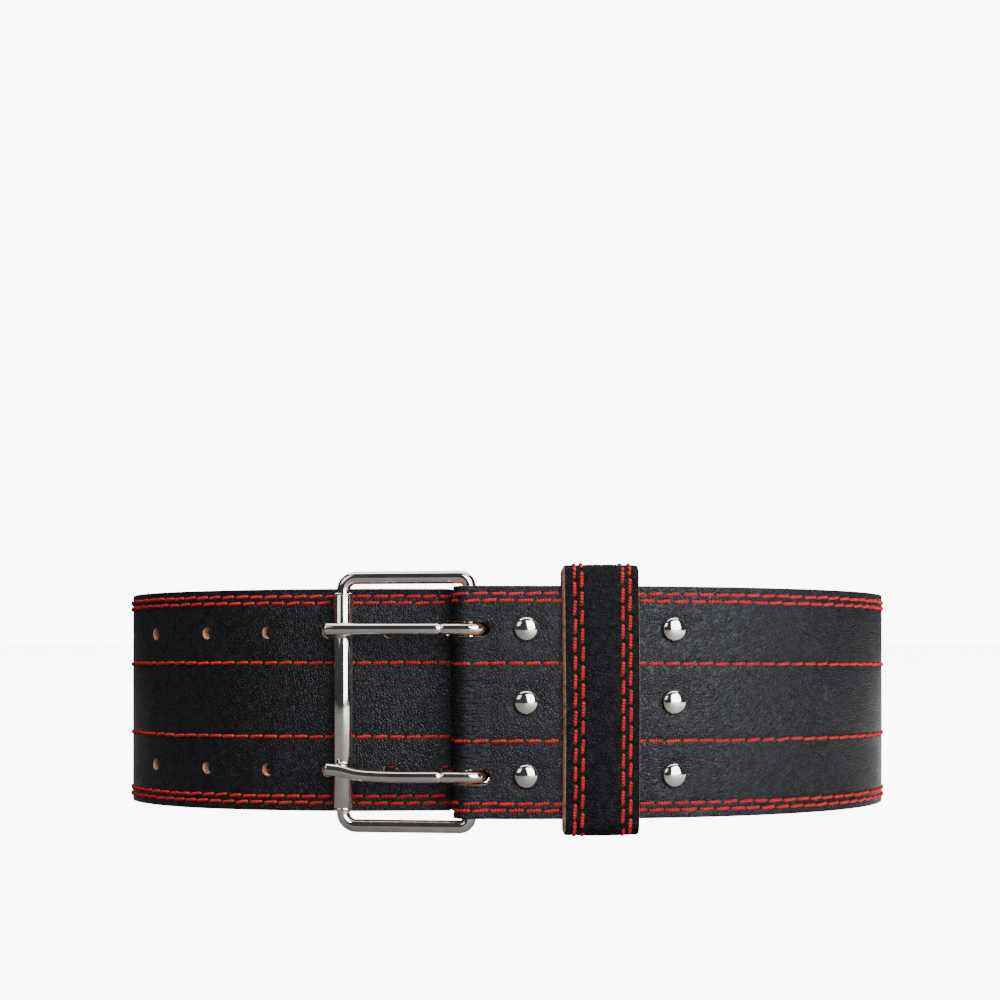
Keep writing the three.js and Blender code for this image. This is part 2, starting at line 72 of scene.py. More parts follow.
class Side(Enum):
    """Material index of each side of a piece of leather."""

    GRAIN = 0
    FLESH = 1
    CUT = 2


class Pick(Enum):
    """What edit mode selects."""

    VERTICES = (True, False, False)
    EDGES = (False, True, False)
    FACES = (False, False, True)


# Sizes

@dataclass(frozen=True)
class BeltSizes:
    """Driving sizes of the belt, in millimetres."""

    half_width: float = 187.5
    half_depth: float = 118.0
    squareness: float = 2.3
    bar_x: float = -16.6
    strap_width: float = 101.6
    strap_thickness: float = 4.0
    taper_top: float = 0.6
    taper_bottom: float = 2.4
    tab_length: float = 105.0
    corner: float = 6.0
    hole_diameter: float = 5.5
    hole_row_spacing: float = 62.0
    slot_reach: float = 9.5
    keeper_width: float = 32.0
    keeper_thickness: float = 3.0
    keeper_above: float = 9.0
    keeper_below: float = 7.0
    patch_width: float = 113.0
    patch_margin: float = 8.3
    patch_thickness: float = 1.2
    patch_x: float = 26.0
    frame_wire: float = 5.8
    frame_span: float = 56.4
    frame_gap: float = 1.2
    roller_wall: float = 1.15
    roller_short: float = 5.6
    prong_wire: float = 5.3
    prong_overhang: float = 2.6
    prong_wrap_reach: float = 11.0
    rivet_cap: float = 10.8
    rivet_cap_height: float = 2.6
    rivet_back: float = 11.8
    rivet_back_height: float = 1.8
    rivet_row_spacing: float = 32.0
    rivet_from_bar: float = 25.0
    rivet_from_tab_end: float = 15.0
    tab_ease: float = 0.7
    clearance: float = 0.3
    hole_columns: tuple[float, ...] = (10.8, 37.7, 66.5, 96.7, 130.5, 168.0, 203.0, 238.0, 273.0)
    prong_heights: tuple[float, ...] = (32.0, -32.6)
    prong_tip_lifts: tuple[float, ...] = (0.0, 3.2)

    @property
    def half_leather(self) -> float:
        """Half of the strap's thickness."""
        return self.strap_thickness / 2

    @property
    def middle(self) -> float:
        """Height of the strap's middle line."""
        return self.strap_width / 2

    @property
    def fold_radius(self) -> float:
        """Radius of the leather's middle round the bar."""
        return self.frame_wire / 2 + self.clearance + self.half_leather

    @property
    def bar_level(self) -> float:
        """Level of the buckle's bar."""
        return -self.fold_radius

    @property
    def roller_radius(self) -> float:
        """Outer radius of the roller."""
        return self.frame_wire / 2 + self.clearance + self.roller_wall

    @property
    def wrap_radius(self) -> float:
        """Radius of a prong's wire round the bar."""
        return self.frame_wire / 2 + self.clearance + self.prong_wire / 2

    @property
    def rivet_stations(self) -> tuple[float, float]:
        """Stations of the two rivet columns."""
        return self.rivet_from_bar, self.tab_length - self.rivet_from_tab_end

    @property
    def keeper_station(self) -> float:
        """Station of the keeper's middle."""
        return sum(self.rivet_stations) / 2

    @property
    def fold_bottom(self) -> float:
        """Lowest level of the fold's leather."""
        return 2 * self.bar_level - self.half_leather

    @property
    def tongue_fold_level(self) -> float:
        """Level of the tongue under the fold."""
        return self.fold_bottom - self.clearance - self.half_leather

    @property
    def tongue_roller_level(self) -> float:
        """Level of the tongue under the roller."""
        return self.bar_level - self.roller_radius - self.clearance - self.half_leather

    @property
    def tongue_end(self) -> float:
        """Distance from the bar to the tongue's end."""
        outer = self.wrap_radius + self.prong_wire / 2
        drop = self.bar_level - (self.tongue_fold_level + self.half_leather)
        return math.sqrt(max(outer ** 2 - drop ** 2, 0)) + self.clearance

    def tab_levels(self) -> list[tuple[float, float]]:
        """Distance from the bar and level of the tab's middle."""
        tight = -self.strap_thickness - self.clearance
        under_keeper = tight - self.keeper_thickness - self.clearance - 0.1
        first, second = self.rivet_stations
        rivet_reach = self.rivet_back / 2 + self.tab_ease
        keeper_reach = self.keeper_width / 2 + self.tab_ease
        return [
            (0, 2 * self.bar_level),
            (self.fold_radius, 2 * self.bar_level + 0.2),
            (first - rivet_reach, tight - 0.6),
            (first + rivet_reach, tight - 0.6),
            (self.keeper_station - keeper_reach, under_keeper),
            (self.keeper_station + keeper_reach, under_keeper),
            (second - rivet_reach, tight - 0.2),
            (self.tab_length, tight - 0.2),
        ]

    def tongue_levels(self) -> list[tuple[float, float]]:
        """Distance from the bar and level of the tongue's middle."""
        return [
            (0, self.tongue_fold_level),
            (0.25 * self.frame_span, self.tongue_fold_level),
            (self.frame_span, self.tongue_roller_level - 0.2),
            (0.55 * self.half_width, 0.8 * self.tongue_roller_level),
            (0.85 * self.half_width, 0.4 * self.tongue_roller_level),
            (1.15 * self.half_width, 0),
        ]


def level_at(rows: list[tuple[float, float]], at: Array) -> Array:
    """Smooth level between the rows of a table, flat at each row where the table turns.

    Args:
        rows: pairs of distance and level.
        at: distances to read.

    Returns:
        The level at each distance.
    """
    place, level = (np.array(column, float) for column in zip(*rows))
    slope = np.diff(level) / np.diff(place)
    before, after = slope[:-1], slope[1:]
    product = before * after
    safe = np.where(product > 0, before + after, 1)
    slopes = np.concatenate([[0], np.where(product > 0, 2 * product / safe, 0), [0]])
    inside = np.clip(at, place[0], place[-1])
    i = np.clip(np.searchsorted(place, inside, side="right") - 1, 0, len(rows) - 2)
    span = place[i + 1] - place[i]
    t = (inside - place[i]) / span
    ends = (2 * t ** 3 - 3 * t ** 2 + 1) * level[i] + (3 * t ** 2 - 2 * t ** 3) * level[i + 1]
    return ends + span * ((t ** 3 - 2 * t ** 2 + t) * slopes[i] + (t ** 3 - t ** 2) * slopes[i + 1])


class Loop:
    """The worn loop: a squared ellipse that the leather is bent round, standing on the floor."""

    COUNT = 1440

    def __init__(self, sizes: BeltSizes) -> None:
        """Work out the loop's points, its length and how it stands.

        Args:
            sizes: the belt's driving sizes.
        """
        self.sizes = sizes
        angle = np.linspace(-math.pi / 2, 1.5 * math.pi, self.COUNT + 1)
        power = sizes.squareness
        share = np.abs(np.cos(angle) / sizes.half_width) ** power
        share += np.abs(np.sin(angle) / sizes.half_depth) ** power
        radius = share ** (-1 / power)
        self.x, self.y = radius * np.cos(angle), radius * np.sin(angle)
        steps = np.hypot(np.diff(self.x), np.diff(self.y))
        self.lengths = np.concatenate([[0], np.cumsum(steps)])
        self.total = float(self.lengths[-1])
        self.bar_length = -self.length_at_x(-sizes.bar_x)
        lowest = max(sizes.frame_gap + sizes.frame_wire, sizes.keeper_below)
        depth = 2 * sizes.half_depth + sizes.half_leather + sizes.bar_level
        self.lean = math.atan2(lowest, depth)
        low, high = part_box("strap")
        back = sizes.half_depth + sizes.half_leather
        self.shift_x = (low.x + high.x) / 2 / MM
        reach = back * math.cos(self.lean) + sizes.strap_width * math.sin(self.lean)
        self.shift_y = high.y / MM - reach
        self.shift_z = low.z / MM + back * math.sin(self.lean)

    def length_at_x(self, x: float) -> float:
        """Length run from the front's middle to a place x right of it."""
        quarter = self.COUNT // 4
        return float(np.interp(x, self.x[:quarter], self.lengths[:quarter]))

    def bend(self, s: Array, v: Array) -> tuple[Array, Array]:
        """Plan position of laid-out points.

        Args:
            s: station from the bar towards +X.
            v: distance outwards from the loop's line.

        Returns:
            The points' x and y, before the belt leans back.
        """
        run = np.mod(s + self.bar_length, self.total)
        x = np.interp(run, self.lengths, self.x)
        y = np.interp(run, self.lengths, self.y)
        power = self.sizes.squareness - 1
        out_x = np.sign(x) * np.abs(x / self.sizes.half_width) ** power / self.sizes.half_width
        out_y = np.sign(y) * np.abs(y / self.sizes.half_depth) ** power / self.sizes.half_depth
        size = np.hypot(out_x, out_y)
        return x + out_x / size * v, y + out_y / size * v

    def stand(self, x: Array, y: Array, z: Array) -> Array:
        """Lean the belt back on the floor and turn millimetres into metres."""
        cos, sin = math.cos(self.lean), math.sin(self.lean)
        places = np.stack([
            x + self.shift_x,
            y * cos + z * sin + self.shift_y,
            z * cos - y * sin + self.shift_z,
        ], axis=-1)
        return places * MM

    def place(self, s: Array, v: Array, z: Array) -> Array:
        """Final place of laid-out points, in metres."""
        x, y = self.bend(np.asarray(s, float), np.asarray(v, float))
        return self.stand(x, y, np.asarray(z, float))

    def matrix(self, origin: Vector, along: Vector, outward: Vector) -> Matrix:
        """Matrix that carries a rigid piece's own millimetres into the standing belt.

        Args:
            origin: the piece's origin before the belt leans, in millimetres.
            along: direction of the piece's own x.
            outward: direction of the piece's own y, with its z up.

        Returns:
            The matrix, in metres.
        """
        up = Vector((0, 0, 1))
        turn = Matrix((along, outward, up)).transposed().to_4x4()
        lean = Matrix.Rotation(-self.lean, 4, "X")
        shift = Matrix.Translation((self.shift_x, self.shift_y, self.shift_z))
        return Matrix.Scale(MM, 4) @ shift @ lean @ Matrix.Translation(origin) @ turn


class StrapLine:
    """Middle line of the strap's leather: from the tongue's end round the loop, the bar and the tab."""

    STEP = 0.4

    def __init__(self, sizes: BeltSizes, loop: Loop) -> None:
        """Sample the line.

        Args:
            sizes: the belt's driving sizes.
            loop: the loop it runs round.
        """
        self.sizes, self.loop = sizes, loop
        run = np.arange(loop.total - sizes.tongue_end, self.STEP, -self.STEP)
        from_bar = loop.total - run
        levels = sizes.tongue_levels()
        turn = np.linspace(math.pi / 2, 1.5 * math.pi, 60)
        tab = np.arange(self.STEP, sizes.tab_length + self.STEP / 2, self.STEP)
        tab[-1] = sizes.tab_length
        self.s = np.concatenate([run, sizes.fold_radius * np.cos(turn), tab])
        self.v = np.concatenate([
            level_at(levels, from_bar),
            sizes.bar_level + sizes.fold_radius * np.sin(turn),
            level_at(sizes.tab_levels(), tab),
        ])
        self.narrow = np.zeros(len(self.s))
        self.narrow[: len(run)] = np.maximum(0, 1 - from_bar / levels[-1][0])
        self.u = np.concatenate([[0], np.cumsum(np.hypot(np.diff(self.s), np.diff(self.v)))])
        along_s, along_v = np.gradient(self.s, self.u), np.gradient(self.v, self.u)
        size = np.hypot(along_s, along_v)
        self.side_s, self.side_v = along_v / size, -along_s / size
        self.total = float(self.u[-1])
        self.fold_from = float(self.u[len(run)])
        self.fold_to = float(self.u[len(run) + len(turn) - 1])

    def u_at(self, station: float) -> float:
        """Place along the leather of a station on the loop itself."""
        count = int(np.searchsorted(self.u, self.fold_from))
        return float(np.interp(-station, -self.s[:count], self.u[:count]))

    def u_on_tab(self, station: float) -> float:
        """Place along the leather of a station on the tab."""
        first = int(np.searchsorted(self.u, self.fold_to))
        return float(np.interp(station, self.s[first:], self.u[first:]))

    def zeta_at(self, u: float, z: float) -> float:
        """Height on the laid-out leather that ends up at height z."""
        narrow = float(np.interp(u, self.u, self.narrow))
        low, high = narrow * self.sizes.taper_bottom, narrow * self.sizes.taper_top
        return (z - low) * self.sizes.strap_width / (self.sizes.strap_width - low - high)

    def place(self, u: Array, zeta: Array, d: Array) -> Array:
        """Final place of points on the leather, in metres."""
        s, v = np.interp(u, self.u, self.s), np.interp(u, self.u, self.v)
        side_s, side_v = np.interp(u, self.u, self.side_s), np.interp(u, self.u, self.side_v)
        narrow = np.interp(u, self.u, self.narrow)
        low, high = narrow * self.sizes.taper_bottom, narrow * self.sizes.taper_top
        share = zeta / self.sizes.strap_width
        z = low + share * (self.sizes.strap_width - low - high)
        return self.loop.place(s + side_s * d, v + side_v * d, z)


# Modelling helpers

def select_none() -> None:
    """Leave edit mode and deselect everything."""
    active = bpy.context.view_layer.objects.active
    if active is not None and active.mode != "OBJECT":
        bpy.ops.object.mode_set(mode="OBJECT")
    bpy.ops.object.select_all(action="DESELECT")


def select_only(piece: bpy.types.Object) -> None:
    """Make one object the only selected and active one."""
    select_none()
    piece.select_set(True)
    bpy.context.view_layer.objects.active = piece


def read_points(piece: bpy.types.Object) -> Array:
    """The mesh's points as rows of three numbers."""
    points = np.empty(len(piece.data.vertices) * 3)
    piece.data.vertices.foreach_get("co", points)
    return points.reshape(-1, 3)


def write_points(piece: bpy.types.Object, points: Array) -> None:
    """Put the mesh's points at new places."""
    piece.data.vertices.foreach_set("co", np.ascontiguousarray(points, np.float32).ravel())
    piece.data.update()


def apply_modifier(piece: bpy.types.Object, kind: str, **settings: object) -> None:
    """Add a modifier with these settings and apply it.

    Args:
        piece: the object.
        kind: Blender's name for the modifier's type.
        settings: its values.
    """
    modifier = piece.modifiers.new(kind.title(), kind)
    for name, value in settings.items():
        setattr(modifier, name, value)
    select_only(piece)
    bpy.ops.object.modifier_apply(modifier=modifier.name)


def smooth(piece: bpy.types.Object, angle: float = 40.0) -> None:
    """Shade a piece smooth up to an angle in degrees."""
    select_only(piece)
    bpy.ops.object.shade_smooth_by_angle(angle=math.radians(angle))


def edit(piece: bpy.types.Object, pick: Pick) -> bmesh.types.BMesh:
    """Open a piece in edit mode with vertex, edge or face selection."""
    select_only(piece)
    bpy.context.tool_settings.mesh_select_mode = pick.value
    bpy.ops.object.mode_set(mode="EDIT")
    return bmesh.from_edit_mesh(piece.data)


def face_outwards(piece: bpy.types.Object) -> None:
    """Turn the normals of a closed piece outwards."""
    edit(piece, Pick.FACES)
    bpy.ops.mesh.select_all(action="SELECT")
    bpy.ops.mesh.normals_make_consistent(inside=False)
    bpy.ops.object.mode_set(mode="OBJECT")


def join_points(piece: bpy.types.Object, distance: float) -> None:
    """Join the points that lie closer together than a distance."""
    edit(piece, Pick.VERTICES)
    bpy.ops.mesh.select_all(action="SELECT")
    bpy.ops.mesh.remove_doubles(threshold=distance)
    bpy.ops.object.mode_set(mode="OBJECT")


def sweep(name: str, outline: Array, stations: list[Matrix], closed: bool = False) -> bpy.types.Object:
    """Circle pulled through a row of stations, as a wire, tube or turned piece.

    Args:
        name: the object's name.
        outline: the section's points, across each station's own x and y.
        stations: a matrix for each ring, which may scale it.
        closed: whether the last station meets the first.

    Returns:
        The object, in the stations' own units.
    """
    select_none()
    fill = "NOTHING" if closed else "NGON"
    bpy.ops.mesh.primitive_circle_add(vertices=len(outline), radius=1, fill_type=fill)
    piece = bpy.context.view_layer.objects.active
    piece.name = piece.data.name = name
    first = np.array([stations[0] @ Vector((x, y, 0)) for x, y in outline])
    write_points(piece, first)
    edit(piece, Pick.EDGES if closed else Pick.FACES)
    bpy.ops.mesh.select_all(action="SELECT")
    for before, after in zip(stations, stations[1:]):
        bpy.ops.mesh.extrude_region_move()
        bm = bmesh.from_edit_mesh(piece.data)
        move = after @ before.inverted()
        for vertex in bm.verts:
            if vertex.select:
                vertex.co = move @ vertex.co
    bmesh.update_edit_mesh(piece.data)
    if closed:
        join_points(piece, 1e-3)
    face_outwards(piece)
    return piece


def circle(sides: int, radius: float = 1.0) -> Array:
    """Points of a circle."""
    angle = np.arange(sides) * 2 * math.pi / sides
    return radius * np.stack([np.cos(angle), np.sin(angle)], axis=-1)


def stations_along(points: Array, radii: Array, up: Vector) -> list[Matrix]:
    """Ring matrices square to a line.

    Args:
        points: the line's points.
        radii: the ring's scale at each.
        up: a direction the line never runs along.

    Returns:
        One matrix a point, with its z along the line.
    """
    ways = np.gradient(points, axis=0)
    found = []
    for point, way, radius in zip(points, ways, radii):
        ahead = Vector(way).normalized()
        side = up.cross(ahead).normalized()
        turn = Matrix((side, ahead.cross(side), ahead)).transposed().to_4x4()
        found.append(Matrix.Translation(Vector(point)) @ turn @ Matrix.Diagonal((radius, radius, 1, 1)))
    return found


def turned(name: str, profile: list[tuple[float, float]], sides: int) -> bpy.types.Object:
    """Piece turned on a lathe about its own y.

    Args:
        name: the object's name.
        profile: radius and height of each ring, from one end to the other.
        sides: how many sides its circle has.

    Returns:
        The object.
    """
    rings = []
    tilt = Matrix.Rotation(-math.pi / 2, 4, "X")
    for radius, height in profile:
        size = Matrix.Diagonal((radius, radius, 1, 1))
        rings.append(Matrix.Translation((0, height, 0)) @ tilt @ size)
    return sweep(name, circle(sides), rings)


def carry(piece: bpy.types.Object, matrix: Matrix) -> None:
    """Put a rigid piece in its place, in its mesh."""
    piece.data.transform(matrix)
    piece.data.update()


def hand_over(piece: bpy.types.Object, nodes: tuple[str, ...] = ()) -> bpy.types.Object:
    """Make a piece ride on the belt, and hide the CAD nodes that it stands for.

    Args:
        piece: the finished object.
        nodes: the CAD nodes that it replaces.

    Returns:
        The same object.
    """
    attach(piece, "root")
    if nodes:
        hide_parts(*nodes)
    log.info("%s: %d faces", piece.name, len(piece.data.polygons))
    return piece


# Materials

class Nodes:
    """Short way to add and join nodes in a tree."""

    def __init__(self, tree: bpy.types.NodeTree) -> None:
        """Start with an empty tree."""
        self.tree = tree
        tree.nodes.clear()

    def add(self, kind: str, values: dict[str, object] | None = None, **settings: object) -> bpy.types.Node:
        """Add a node.

        Args:
            kind: the node's type.
            values: input sockets' values, or sockets to join to them.
            settings: the node's own settings.

        Returns:
            The node.
        """
        node = self.tree.nodes.new(kind)
        for name, value in settings.items():
            setattr(node, name, value)
        for name, value in (values or {}).items():
            socket = node.inputs[name]
            if isinstance(value, bpy.types.NodeSocket):
                self.tree.links.new(value, socket)
            else:
                socket.default_value = value
        return node

    def group(self, tree: bpy.types.NodeTree, values: dict[str, object]) -> bpy.types.Node:
        """Place a shared group."""
        return self.add("ShaderNodeGroup", values, node_tree=tree)

    def math(self, operation: str, *values: object) -> bpy.types.NodeSocket:
        """Add a math node and return its output."""
        return self.add("ShaderNodeMath", dict(enumerate(values)), operation=operation).outputs[0]

    def ramp(self, value: object, low: float, high: float, *span: float) -> bpy.types.NodeSocket:
        """Smooth step of a value between two limits.

        Args:
            value: the value.
            low: where the step starts.
            high: where it ends.
            span: what it puts out at its start and end, 0 and 1 where not given.

        Returns:
            The step's output.
        """
        out_low, out_high = span or (0.0, 1.0)
        limits = {"From Min": low, "From Max": high, "To Min": out_low, "To Max": out_high}
        step = self.add("ShaderNodeMapRange", {"Value": value, **limits}, interpolation_type="SMOOTHSTEP")
        return step.outputs["Result"]

    def noise(self, place: object, scale: object, detail: float, rough: float = 0.5) -> bpy.types.Node:
        """Add a noise texture."""
        values = {"Vector": place, "Scale": scale, "Detail": detail, "Roughness": rough}
        return self.add("ShaderNodeTexNoise", values)

    def bump(self, height: object, strength: float, depth: float) -> bpy.types.NodeSocket:
        """Normal of a surface with this height."""
        values = {"Strength": strength, "Distance": depth, "Height": height}
        return self.add("ShaderNodeBump", values).outputs[0]

    def blend(self, share: object, first: object, second: object) -> bpy.types.NodeSocket:
        """Mix of two colours."""
        node = self.add("ShaderNodeMix", data_type="RGBA")
        for socket, value in ((node.inputs[0], share), (node.inputs[6], first), (node.inputs[7], second)):
            if isinstance(value, bpy.types.NodeSocket):
                self.tree.links.new(value, socket)
            else:
                socket.default_value = value
        return node.outputs[2]


def grey(value: float) -> tuple[float, float, float, float]:
    """Grey of one value."""
    return value, value, value, 1.0


def new_group(name: str, inputs: dict[str, float]) -> tuple[Nodes, bpy.types.Node, bpy.types.NodeTree]:
    """Start a shader node group that puts out a height and a tone.

    Args:
        name: the group's name.
        inputs: its float inputs and their values.

    Returns:
        Its nodes, its input node and its tree. Its input Vector is the place on the piece.
    """
    tree = bpy.data.node_groups.new(name, "ShaderNodeTree")
    tree.interface.new_socket("Vector", in_out="INPUT", socket_type="NodeSocketVector")
    for key, value in inputs.items():
        socket = tree.interface.new_socket(key, in_out="INPUT", socket_type="NodeSocketFloat")
        socket.default_value = value
    for key in ("Height", "Tone"):
        tree.interface.new_socket(key, in_out="OUTPUT", socket_type="NodeSocketFloat")
    nodes = Nodes(tree)
    return nodes, nodes.add("NodeGroupInput"), tree


def make_grain() -> bpy.types.NodeTree:
    """Leather grain: pebbles with creases between them, and fine pores."""
    nodes, given, tree = new_group("leather_grain", {"Pebble Scale": 1000.0, "Pore Share": 0.25})
    place, scale = given.outputs["Vector"], given.outputs["Pebble Scale"]
    wobble = nodes.noise(place, 420.0, 2.0).outputs["Color"]
    shift = nodes.add("ShaderNodeVectorMath", {0: wobble, "Scale": 0.0006}, operation="SCALE")
    moved = nodes.add("ShaderNodeVectorMath", {0: place, 1: shift.outputs[0]}, operation="ADD").outputs[0]
    cells = nodes.add("ShaderNodeTexVoronoi", {"Vector": moved, "Scale": scale}, feature="DISTANCE_TO_EDGE")
    pebble = nodes.ramp(cells.outputs["Distance"], 0.0, 0.34)
    broad = nodes.noise(place, nodes.math("MULTIPLY", scale, 0.33), 3.0).outputs["Fac"]
    pores = nodes.noise(place, nodes.math("MULTIPLY", scale, 2.2), 2.0).outputs["Fac"]
    fine = nodes.math("MULTIPLY", pores, given.outputs["Pore Share"])
    height = nodes.math("ADD", nodes.math("MULTIPLY_ADD", broad, 0.25, pebble), fine)
    nodes.add("NodeGroupOutput", {"Height": height, "Tone": nodes.ramp(broad, 0.35, 0.65)})
    return tree


def make_fibres() -> bpy.types.NodeTree:
    """Cut or brushed fibres: soft lumps with short strands over them."""
    nodes, given, tree = new_group("leather_fibres", {"Fibre Scale": 1500.0, "Stretch": 4.0})
    place, scale = given.outputs["Vector"], given.outputs["Fibre Scale"]
    lumps = nodes.noise(place, nodes.math("MULTIPLY", scale, 0.25), 4.0).outputs["Fac"]
    squeeze = nodes.add("ShaderNodeCombineXYZ", {"X": 1.0, "Y": 1.0, "Z": given.outputs["Stretch"]})
    long_way = nodes.add("ShaderNodeVectorMath", {0: place, 1: squeeze.outputs[0]}, operation="MULTIPLY")
    strands = nodes.noise(long_way.outputs[0], scale, 5.0, 0.7).outputs["Fac"]
    height = nodes.math("MULTIPLY_ADD", lumps, 0.8, strands)
    nodes.add("NodeGroupOutput", {"Height": height, "Tone": nodes.ramp(height, 0.6, 1.2)})
    return tree


def make_smudges() -> bpy.types.NodeTree:
    """Handling marks: broad soft patches with a few fine rubs."""
    nodes, given, tree = new_group("handling_marks", {"Patch Scale": 40.0})
    place, scale = given.outputs["Vector"], given.outputs["Patch Scale"]
    broad = nodes.noise(place, scale, 4.0, 0.6).outputs["Fac"]
    rubs = nodes.noise(place, nodes.math("MULTIPLY", scale, 18.0), 3.0).outputs["Fac"]
    height = nodes.math("MULTIPLY_ADD", rubs, 0.25, broad)
    nodes.add("NodeGroupOutput", {"Height": height, "Tone": nodes.ramp(broad, 0.35, 0.65)})
    return tree


class SharedGroups:
    """The node groups that more than one finish uses."""

    def __init__(self) -> None:
        """Build each group once."""
        self.grain = make_grain()
        self.fibres = make_fibres()
        self.smudges = make_smudges()


@dataclass(frozen=True)
class Finish:
    """What every finish has: a name, two colours, a relief, and a shader on the piece's own coordinates."""

    name: str
    dark: Colour = (0.0, 0.0, 0.0)
    light: Colour = (1.0, 1.0, 1.0)
    strength: float = 0.5
    depth: float = 0.0002
    specular: float = 0.5

    def start(self) -> tuple[bpy.types.Material, Nodes, bpy.types.NodeSocket]:
        """New material, its nodes and the piece's own coordinates."""
        material = bpy.data.materials.new(self.name)
        material.use_nodes = True
        nodes = Nodes(material.node_tree)
        return material, nodes, nodes.add("ShaderNodeTexCoord").outputs["Object"]

    def tone_and_shade(self, nodes: Nodes, share: object) -> bpy.types.NodeSocket:
        """Mix of the finish's dark and light colours; on the thread the mix is painted shade between its
        plies.
        """
        return nodes.blend(share, (*self.dark, 1.0), (*self.light, 1.0))

    def close(self, nodes: Nodes, colour: object, height: object, values: dict[str, object]) -> None:
        """Add the shader and the output.

        Args:
            nodes: the material's nodes.
            colour: the surface's colour.
            height: height of the fine relief.
            values: the shader's other sockets.
        """
        normal = nodes.bump(height, self.strength, self.depth)
        common = {"Base Color": colour, "Normal": normal, "Specular IOR Level": self.specular}
        finish_surface(nodes, {**common, **values})


def finish_surface(nodes: Nodes, values: dict[str, object]) -> None:
    """Add a shader with these values, and the output."""
    shader = nodes.add("ShaderNodeBsdfPrincipled", values)
    nodes.add("ShaderNodeOutputMaterial", {"Surface": shader.outputs[0]})


@dataclass(frozen=True)
class GrainLeather(Finish):
    """Dyed leather with its grain, for the strap, the keeper and the patch."""

    dark: Colour = (0.0022, 0.0023, 0.0028)
    light: Colour = (0.0052, 0.0054, 0.0064)
    strength: float = 0.8
    depth: float = 0.00024
    specular: float = 0.25
    rough_low: float = 0.28
    rough_high: float = 0.36
    pebble_scale: float = 860.0
    pore_share: float = 0.25
    wrinkle_scale: Colour = (160.0, 160.0, 900.0)
    wrinkle_height: float = 2.2

    def make(self, shared: SharedGroups) -> bpy.types.Material:
        """Build the material."""
        material, nodes, place = self.start()
        values = {"Vector": place, "Pebble Scale": self.pebble_scale, "Pore Share": self.pore_share}
        grain = nodes.group(shared.grain, values)
        marks = nodes.group(shared.smudges, {"Vector": place, "Patch Scale": 30.0})
        crease = nodes.add("ShaderNodeAttribute", attribute_name="crease").outputs["Fac"]
        stretch = nodes.add("ShaderNodeMapping", {"Vector": place, "Scale": self.wrinkle_scale})
        folds = nodes.noise(stretch.outputs[0], 1.0, 3.0).outputs["Fac"]
        wrinkles = nodes.math("MULTIPLY", nodes.ramp(folds, 0.35, 0.65), crease)
        height = nodes.math("MULTIPLY_ADD", wrinkles, self.wrinkle_height, grain.outputs["Height"])
        rough = nodes.ramp(marks.outputs["Tone"], 0.0, 1.0, self.rough_low, self.rough_high)
        cool = {"Roughness": rough, "Specular Tint": (0.88, 0.92, 1.0, 1.0)}
        self.close(nodes, self.tone_and_shade(nodes, grain.outputs["Tone"]), height, cool)
        return material


@dataclass(frozen=True)
class Suede(Finish):
    """Near-black flesh side with lint."""

    dark: Colour = (0.003, 0.003, 0.0035)
    light: Colour = (0.014, 0.0135, 0.0135)
    lint: Colour = (0.06, 0.055, 0.055)
    strength: float = 0.7
    depth: float = 0.0004
    specular: float = 0.15

    def make(self, shared: SharedGroups) -> bpy.types.Material:
        """Build the material."""
        material, nodes, place = self.start()
        nap = nodes.group(shared.fibres, {"Vector": place, "Fibre Scale": 900.0, "Stretch": 0.6})
        specks = nodes.ramp(nodes.noise(place, 700.0, 1.0).outputs["Fac"], 0.72, 0.78)
        colour = nodes.blend(specks, self.tone_and_shade(nodes, nap.outputs["Tone"]), (*self.lint, 1.0))
        sheen = {"Roughness": 0.95, "Sheen Weight": 0.03, "Sheen Roughness": 0.5}
        self.close(nodes, colour, nap.outputs["Height"], sheen)
        return material


@dataclass(frozen=True)
class RawEdge(Finish):
    """Cut edge of the leather, where the undyed middle shows."""

    dark: Colour = (0.14, 0.06, 0.032)
    light: Colour = (0.52, 0.29, 0.18)
    strength: float = 0.9
    depth: float = 0.0005
    specular: float = 0.25

    def make(self, shared: SharedGroups) -> bpy.types.Material:
        """Build the material."""
        material, nodes, place = self.start()
        cut = nodes.group(shared.fibres, {"Vector": place, "Fibre Scale": 1300.0, "Stretch": 1.0})
        self.close(nodes, self.tone_and_shade(nodes, cut.outputs["Tone"]), cut.outputs["Height"], {"Roughness": 0.88})
        return material


@dataclass(frozen=True)
class Thread(Finish):
    """Twisted sewing thread, coloured darker between its plies as painted shade."""

    # Painted shade: dark is painted into the valleys between the plies, light onto their crests.
    dark: Colour = (0.03, 0.0003, 0.0006)
    light: Colour = (0.62, 0.009, 0.012)
    strength: float = 0.4
    depth: float = 0.00008
    specular: float = 0.3

    def make(self, shared: SharedGroups) -> bpy.types.Material:
        """Build the material."""
        material, nodes, place = self.start()
        # Painted shade: the ply value from each stitch's mesh makes the thread darker in the valleys
        # between its plies.
        ply = nodes.add("ShaderNodeAttribute", attribute_name="ply").outputs["Fac"]
        marks = nodes.group(shared.smudges, {"Vector": place, "Patch Scale": 260.0})
        share = nodes.math("MULTIPLY_ADD", marks.outputs["Tone"], 0.25, nodes.math("MULTIPLY", ply, 0.75))
        hairs = nodes.group(shared.fibres, {"Vector": place, "Fibre Scale": 5000.0, "Stretch": 1.0})
        sheen = {"Roughness": 0.55, "Sheen Weight": 0.06, "Sheen Roughness": 0.4}
        self.close(nodes, self.tone_and_shade(nodes, share), hairs.outputs["Height"], sheen)
        return material


